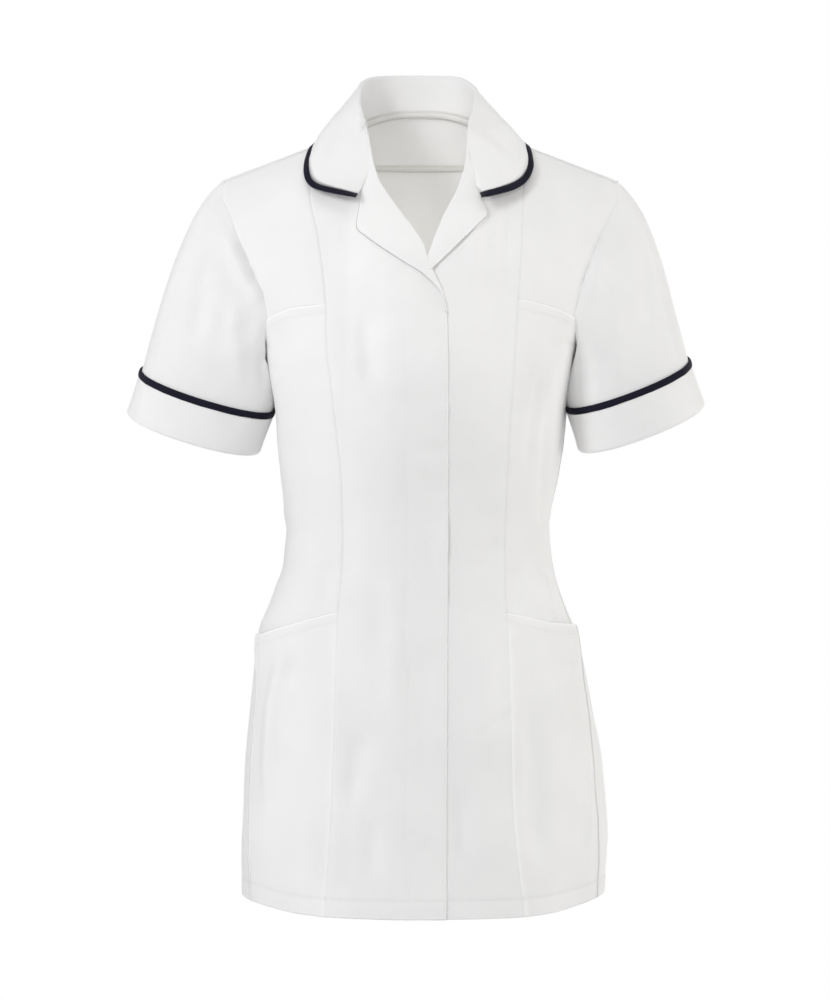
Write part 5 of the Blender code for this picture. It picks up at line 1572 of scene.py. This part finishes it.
def woven(name, light, dark, rough, sheen, weave, mottle, shine=0.25):
    """Twill: fine diagonal ribs, soft unevenness of colour, painted shade at seams and painted
    highlights on edges.
    """
    made, tree, shader = new_material(name, {
        "Roughness": rough, "Sheen Weight": sheen, "Sheen Roughness": 0.5,
        "Specular IOR Level": shine})
    place = add_node(tree, "TexCoord").outputs["Object"]
    cloudy = add_node(tree, "TexNoise", {"Scale": 16.0, "Detail": 4.0, "Vector": place})
    tone = add_node(tree, "ValToRGB", {"Fac": cloudy.outputs["Fac"]})
    for element, position, colour in zip(tone.color_ramp.elements, (0.5 - mottle, 0.5 + mottle),
                                         (dark, light)):
        element.position = position
        element.color = (*colour, 1.0)
    # the seam attribute paints shade into the colour where it is positive and a highlight where it
    # is negative
    seam = add_node(tree, "Attribute", attribute_name="seam").outputs["Fac"]
    shadow = add_node(tree, "Mix", {"B": (SEAM_PAINTED_SHADE, SEAM_PAINTED_SHADE, SEAM_PAINTED_SHADE, 1.0), "Factor": seam,
                                    "A": tone.outputs["Color"]},
                      data_type="RGBA", blend_type="MULTIPLY")
    highlight_share = add_node(tree, "Math", {0: seam, 1: -1.0}, operation="MULTIPLY", use_clamp=True)
    painted_highlight = add_node(tree, "Mix", {"B": (EDGE_PAINTED_HIGHLIGHT, EDGE_PAINTED_HIGHLIGHT, EDGE_PAINTED_HIGHLIGHT, 1.0),
                                  "Factor": highlight_share.outputs["Value"], "A": shadow.outputs["Result"]},
                    data_type="RGBA")
    uv = add_node(tree, "UVMap", uv_map="UVMap").outputs["UV"]
    ribs = add_node(tree, "TexWave", {"Scale": weave, "Distortion": 0.6, "Detail": 1.0,
                                      "Vector": uv}, wave_type="BANDS", bands_direction="DIAGONAL")
    slub = add_node(tree, "TexNoise", {"Scale": 420.0, "Detail": 3.0, "Vector": uv})
    fine = add_node(tree, "Bump", {"Strength": 0.25, "Distance": 0.00012,
                                   "Height": ribs.outputs["Fac"]})
    soft = add_node(tree, "Bump", {"Strength": 0.3, "Distance": 0.0004,
                                   "Height": slub.outputs["Fac"], "Normal": fine.outputs["Normal"]})
    tree.links.new(painted_highlight.outputs["Result"], shader.inputs["Base Color"])
    tree.links.new(soft.outputs["Normal"], shader.inputs["Normal"])
    return made


def brushed(name, colour, rough):
    """Nickel-plated steel with faint scratches."""
    made, tree, shader = new_material(name, {"Base Color": (*colour, 1.0), "Metallic": 1.0})
    place = add_node(tree, "TexCoord").outputs["Object"]
    marks = add_node(tree, "TexNoise", {"Scale": 900.0, "Vector": place})
    gloss = add_node(tree, "MapRange", {"To Min": rough - 0.08, "To Max": rough + 0.12,
                                        "Value": marks.outputs["Fac"]})
    tree.links.new(gloss.outputs["Result"], shader.inputs["Roughness"])
    return made


# colour of the painted shade at seams and stitch lines, and of the painted highlight on edges
SEAM_PAINTED_SHADE = 0.965
EDGE_PAINTED_HIGHLIGHT = 0.985
CLOTH_WHITE = woven("white_twill", (0.888, 0.885, 0.882), (0.853, 0.85, 0.848), 0.8, 0.12,
                    1500.0, 0.18)
SERGED = woven("serging_thread", (0.8, 0.785, 0.74), (0.68, 0.66, 0.6), 0.85, 0.1, 900.0, 0.2)
BINDING_NAVY = woven("navy_twill", (0.011, 0.011, 0.025), (0.005, 0.005, 0.014), 0.7, 0.06,
                     1500.0, 0.2, shine=0.12)
STUD_STEEL = brushed("nickel_steel", (0.62, 0.63, 0.65), 0.32)

# ---- the garment ----
SIDES = ("right", "left")
BODY_CREASES = (on_body("front", FRONT_CREASES) + on_body("back", BACK_CREASES)
                + on_side("right", SIDE_CREASES["right"]) + on_side("left", SIDE_CREASES["left"]))

fronts, uppers, pockets, seams = {}, {}, [], []
for side in SIDES:
    fronts[side], lines = front(side)
    seams += lines
    uppers[side], lines, pair = side_front(side)
    pockets += pair
    seams += lines
back_grid, lines = back()
seams += lines
for side in SIDES:
    loop, turn = armhole(side, uppers[side], back_grid)
    sleeve_tube(side, loop, turn)
    cuff_band(side, turn)
    cuff_binding(side, turn)
body_tree = tree_of([*fronts.values(), back_grid, *uppers.values(), *pockets])
for side in reversed(SIDES):
    lapel(side, body_tree)
sheet = collar(body_tree)
facing_grid = back_facing()
studs(tree_of([fronts["left"]]))
stitches("seam_stitching", seams, body_tree, CLOTH_WHITE)
inner = facing_grid - grid_normals(facing_grid) * CLOTH
overlock("facing_overlock", [inner[-2], inner[-4]], face_tree(inner, True))
seen = slice(*(int(share * FALL_COLUMNS) for share in STAND_SEEN))
stand = sheet[:8, seen]
overlock("neck_overlock", [stand[1], (stand[2] + stand[3]) / 2], face_tree(stand))

# ---- studio: places in metres ----
FLOOR_Z = -1.40
FLOOR_RADIUS = 2.5
AMBIENT = 0.4
WHITE = (1.0, 1.0, 1.0)
WARM = (1.0, 0.985, 0.94)
COOL = (0.985, 0.985, 1.0)
NECK_WARM = (1.0, 0.975, 0.92)
# name, place, target, size, power, colour; the inner light stands for light that comes
# through the thin cloth of the body, up into the neck
LIGHTS = (
    ("key_light", (-1.9, -2.2, 0.9), (0.0, 0.0, -0.35), (0.6, 1.2), 29.0, COOL),
    ("front_light", (0.3, -3.6, 0.2), (0.0, 0.0, -0.3), (1.6, 1.2), 15.0, WHITE),
    ("right_light", (2.3, -0.2, -0.1), (0.1, 0.0, -0.45), (0.9, 1.8), 21.0, WARM),
    ("left_light", (-2.3, -0.6, -0.2), (-0.1, 0.0, -0.45), (0.9, 1.8), 8.5, COOL),
    ("top_light", (0.0, -1.1, 1.9), (0.0, 0.0, -0.1), (1.6, 0.8), 8.0, WHITE),
    ("back_light", (1.3, 2.4, 0.7), (0.0, 0.0, -0.35), (1.2, 1.2), 14.0, WHITE),
    ("inner_light", (0.0, -0.02, -0.26), (0.0, 0.1, -0.02), (0.14, 0.08), 0.135, NECK_WARM),
)


def add_object(name, data, place=(0.0, 0.0, 0.0), target=None):
    """An object of the studio, turned towards its target."""
    thing = bpy.data.objects.new(name, data)
    thing.location = place
    if target is not None:
        thing.rotation_euler = (Vector(target) - Vector(place)).to_track_quat("-Z", "Y").to_euler()
    bpy.context.scene.collection.objects.link(thing)
    return thing


floor_mesh = bpy.data.meshes.new("studio_floor")
ring = [(FLOOR_RADIUS * math.cos(t), FLOOR_RADIUS * math.sin(t), FLOOR_Z)
        for t in np.linspace(0, 2 * math.pi, 65)[:-1]]
floor_mesh.from_pydata(ring, [], [list(range(len(ring)))])
paint = new_material("floor_paint", {"Base Color": (0.9, 0.9, 0.9, 1.0), "Roughness": 0.9})[0]
floor_mesh.materials.append(paint)
add_object("studio_floor", floor_mesh)

# the camera sees a white world, and the cloth is lit by a dimmer one
world = bpy.data.worlds.new("studio")
bpy.context.scene.world = world
world.use_nodes = True
sky = world.node_tree
sky.nodes.clear()
seen, lit = (add_node(sky, "Background", {"Color": (*WHITE, 1.0), "Strength": strength})
             for strength in (1.0, AMBIENT))
path = add_node(sky, "LightPath")
mix = add_node(sky, "MixShader", {"Fac": path.outputs["Is Camera Ray"],
                                  1: lit.outputs["Background"], 2: seen.outputs["Background"]})
add_node(sky, "OutputWorld", {"Surface": mix.outputs["Shader"]})

for name, place, target, size, power, colour in LIGHTS:
    lamp = bpy.data.lights.new(name, "AREA")
    lamp.shape = "RECTANGLE"
    lamp.size, lamp.size_y = size
    lamp.energy = power
    lamp.color = colour
    add_object(name, lamp, place, target)

snoot = bpy.data.lights.new("neck_light", "SPOT")
snoot.energy = 34.0
snoot.color = NECK_WARM
snoot.spot_size = math.radians(7.0)
snoot.spot_blend = 1.0
snoot.shadow_soft_size = 0.12
add_object("neck_light", snoot, (0.0, -2.7, 0.35), (0.003, 0.05, -0.105))

camera = bpy.data.cameras.new("camera")
camera.lens = 92.4
camera.sensor_width = 36.0
view_from = add_object("camera", camera, (-0.0049, -2.5, -0.359))
view_from.rotation_euler = (math.radians(90.0), 0.0, 0.0)
bpy.context.scene.camera = view_from
bpy.context.scene.view_settings.view_transform = "Standard"

# ---- what each cloth piece was cut from: width and length in metres, and flat area ----
FLAT = {
    "front_right_panel": (0.150, 0.745, 0.079),
    "front_left_panel": (0.150, 0.745, 0.079),
    "shoulder_panel_right": (0.100, 0.270, 0.0215),
    "shoulder_panel_left": (0.100, 0.270, 0.0215),
    "chest_pocket_panel_right": (0.150, 0.400, 0.0455),
    "chest_pocket_panel_left": (0.150, 0.400, 0.0430),
    "hip_pocket_panel_right": (0.135, 0.290, 0.0300),
    "hip_pocket_panel_left": (0.135, 0.290, 0.0300),
    "back_panel": (0.580, 0.810, 0.352),
    "sleeve_panel_right": (0.430, 0.250, 0.0570),
    "sleeve_panel_left": (0.420, 0.245, 0.0535),
    "cuff_band_right": (0.355, 0.042, 0.0137),
    "cuff_band_left": (0.350, 0.042, 0.0137),
    "cuff_binding_right": (0.350, 0.012, 0.0033),
    "cuff_binding_left": (0.345, 0.012, 0.0032),
    "collar_sheet": (0.430, 0.115, 0.0340),
    "collar_binding": (0.620, 0.012, 0.0040),
    "back_neck_facing": (0.130, 0.062, 0.0067),
    "lapel_sheet_right": (0.175, 0.055, 0.0048),
    "lapel_sheet_left": (0.140, 0.050, 0.0034),
}
HANGS_FROM = {
    "front": "back", "shoulder": "back", "chest": "side_front_upper_", "hip": "side_front_middle_",
    "back_panel": "collar_stand", "back_neck": "back", "sleeve": "back", "cuff_band": "sleeve_",
    "cuff_binding": "sleeve_", "collar": "back", "lapel": "front_",
}
for name, (wide, long, area) in FLAT.items():
    over = [HANGS_FROM[key] for key in HANGS_FROM if name.startswith(key)][0]
    if over.endswith("_"):
        over += "right" if "right" in name else "left"
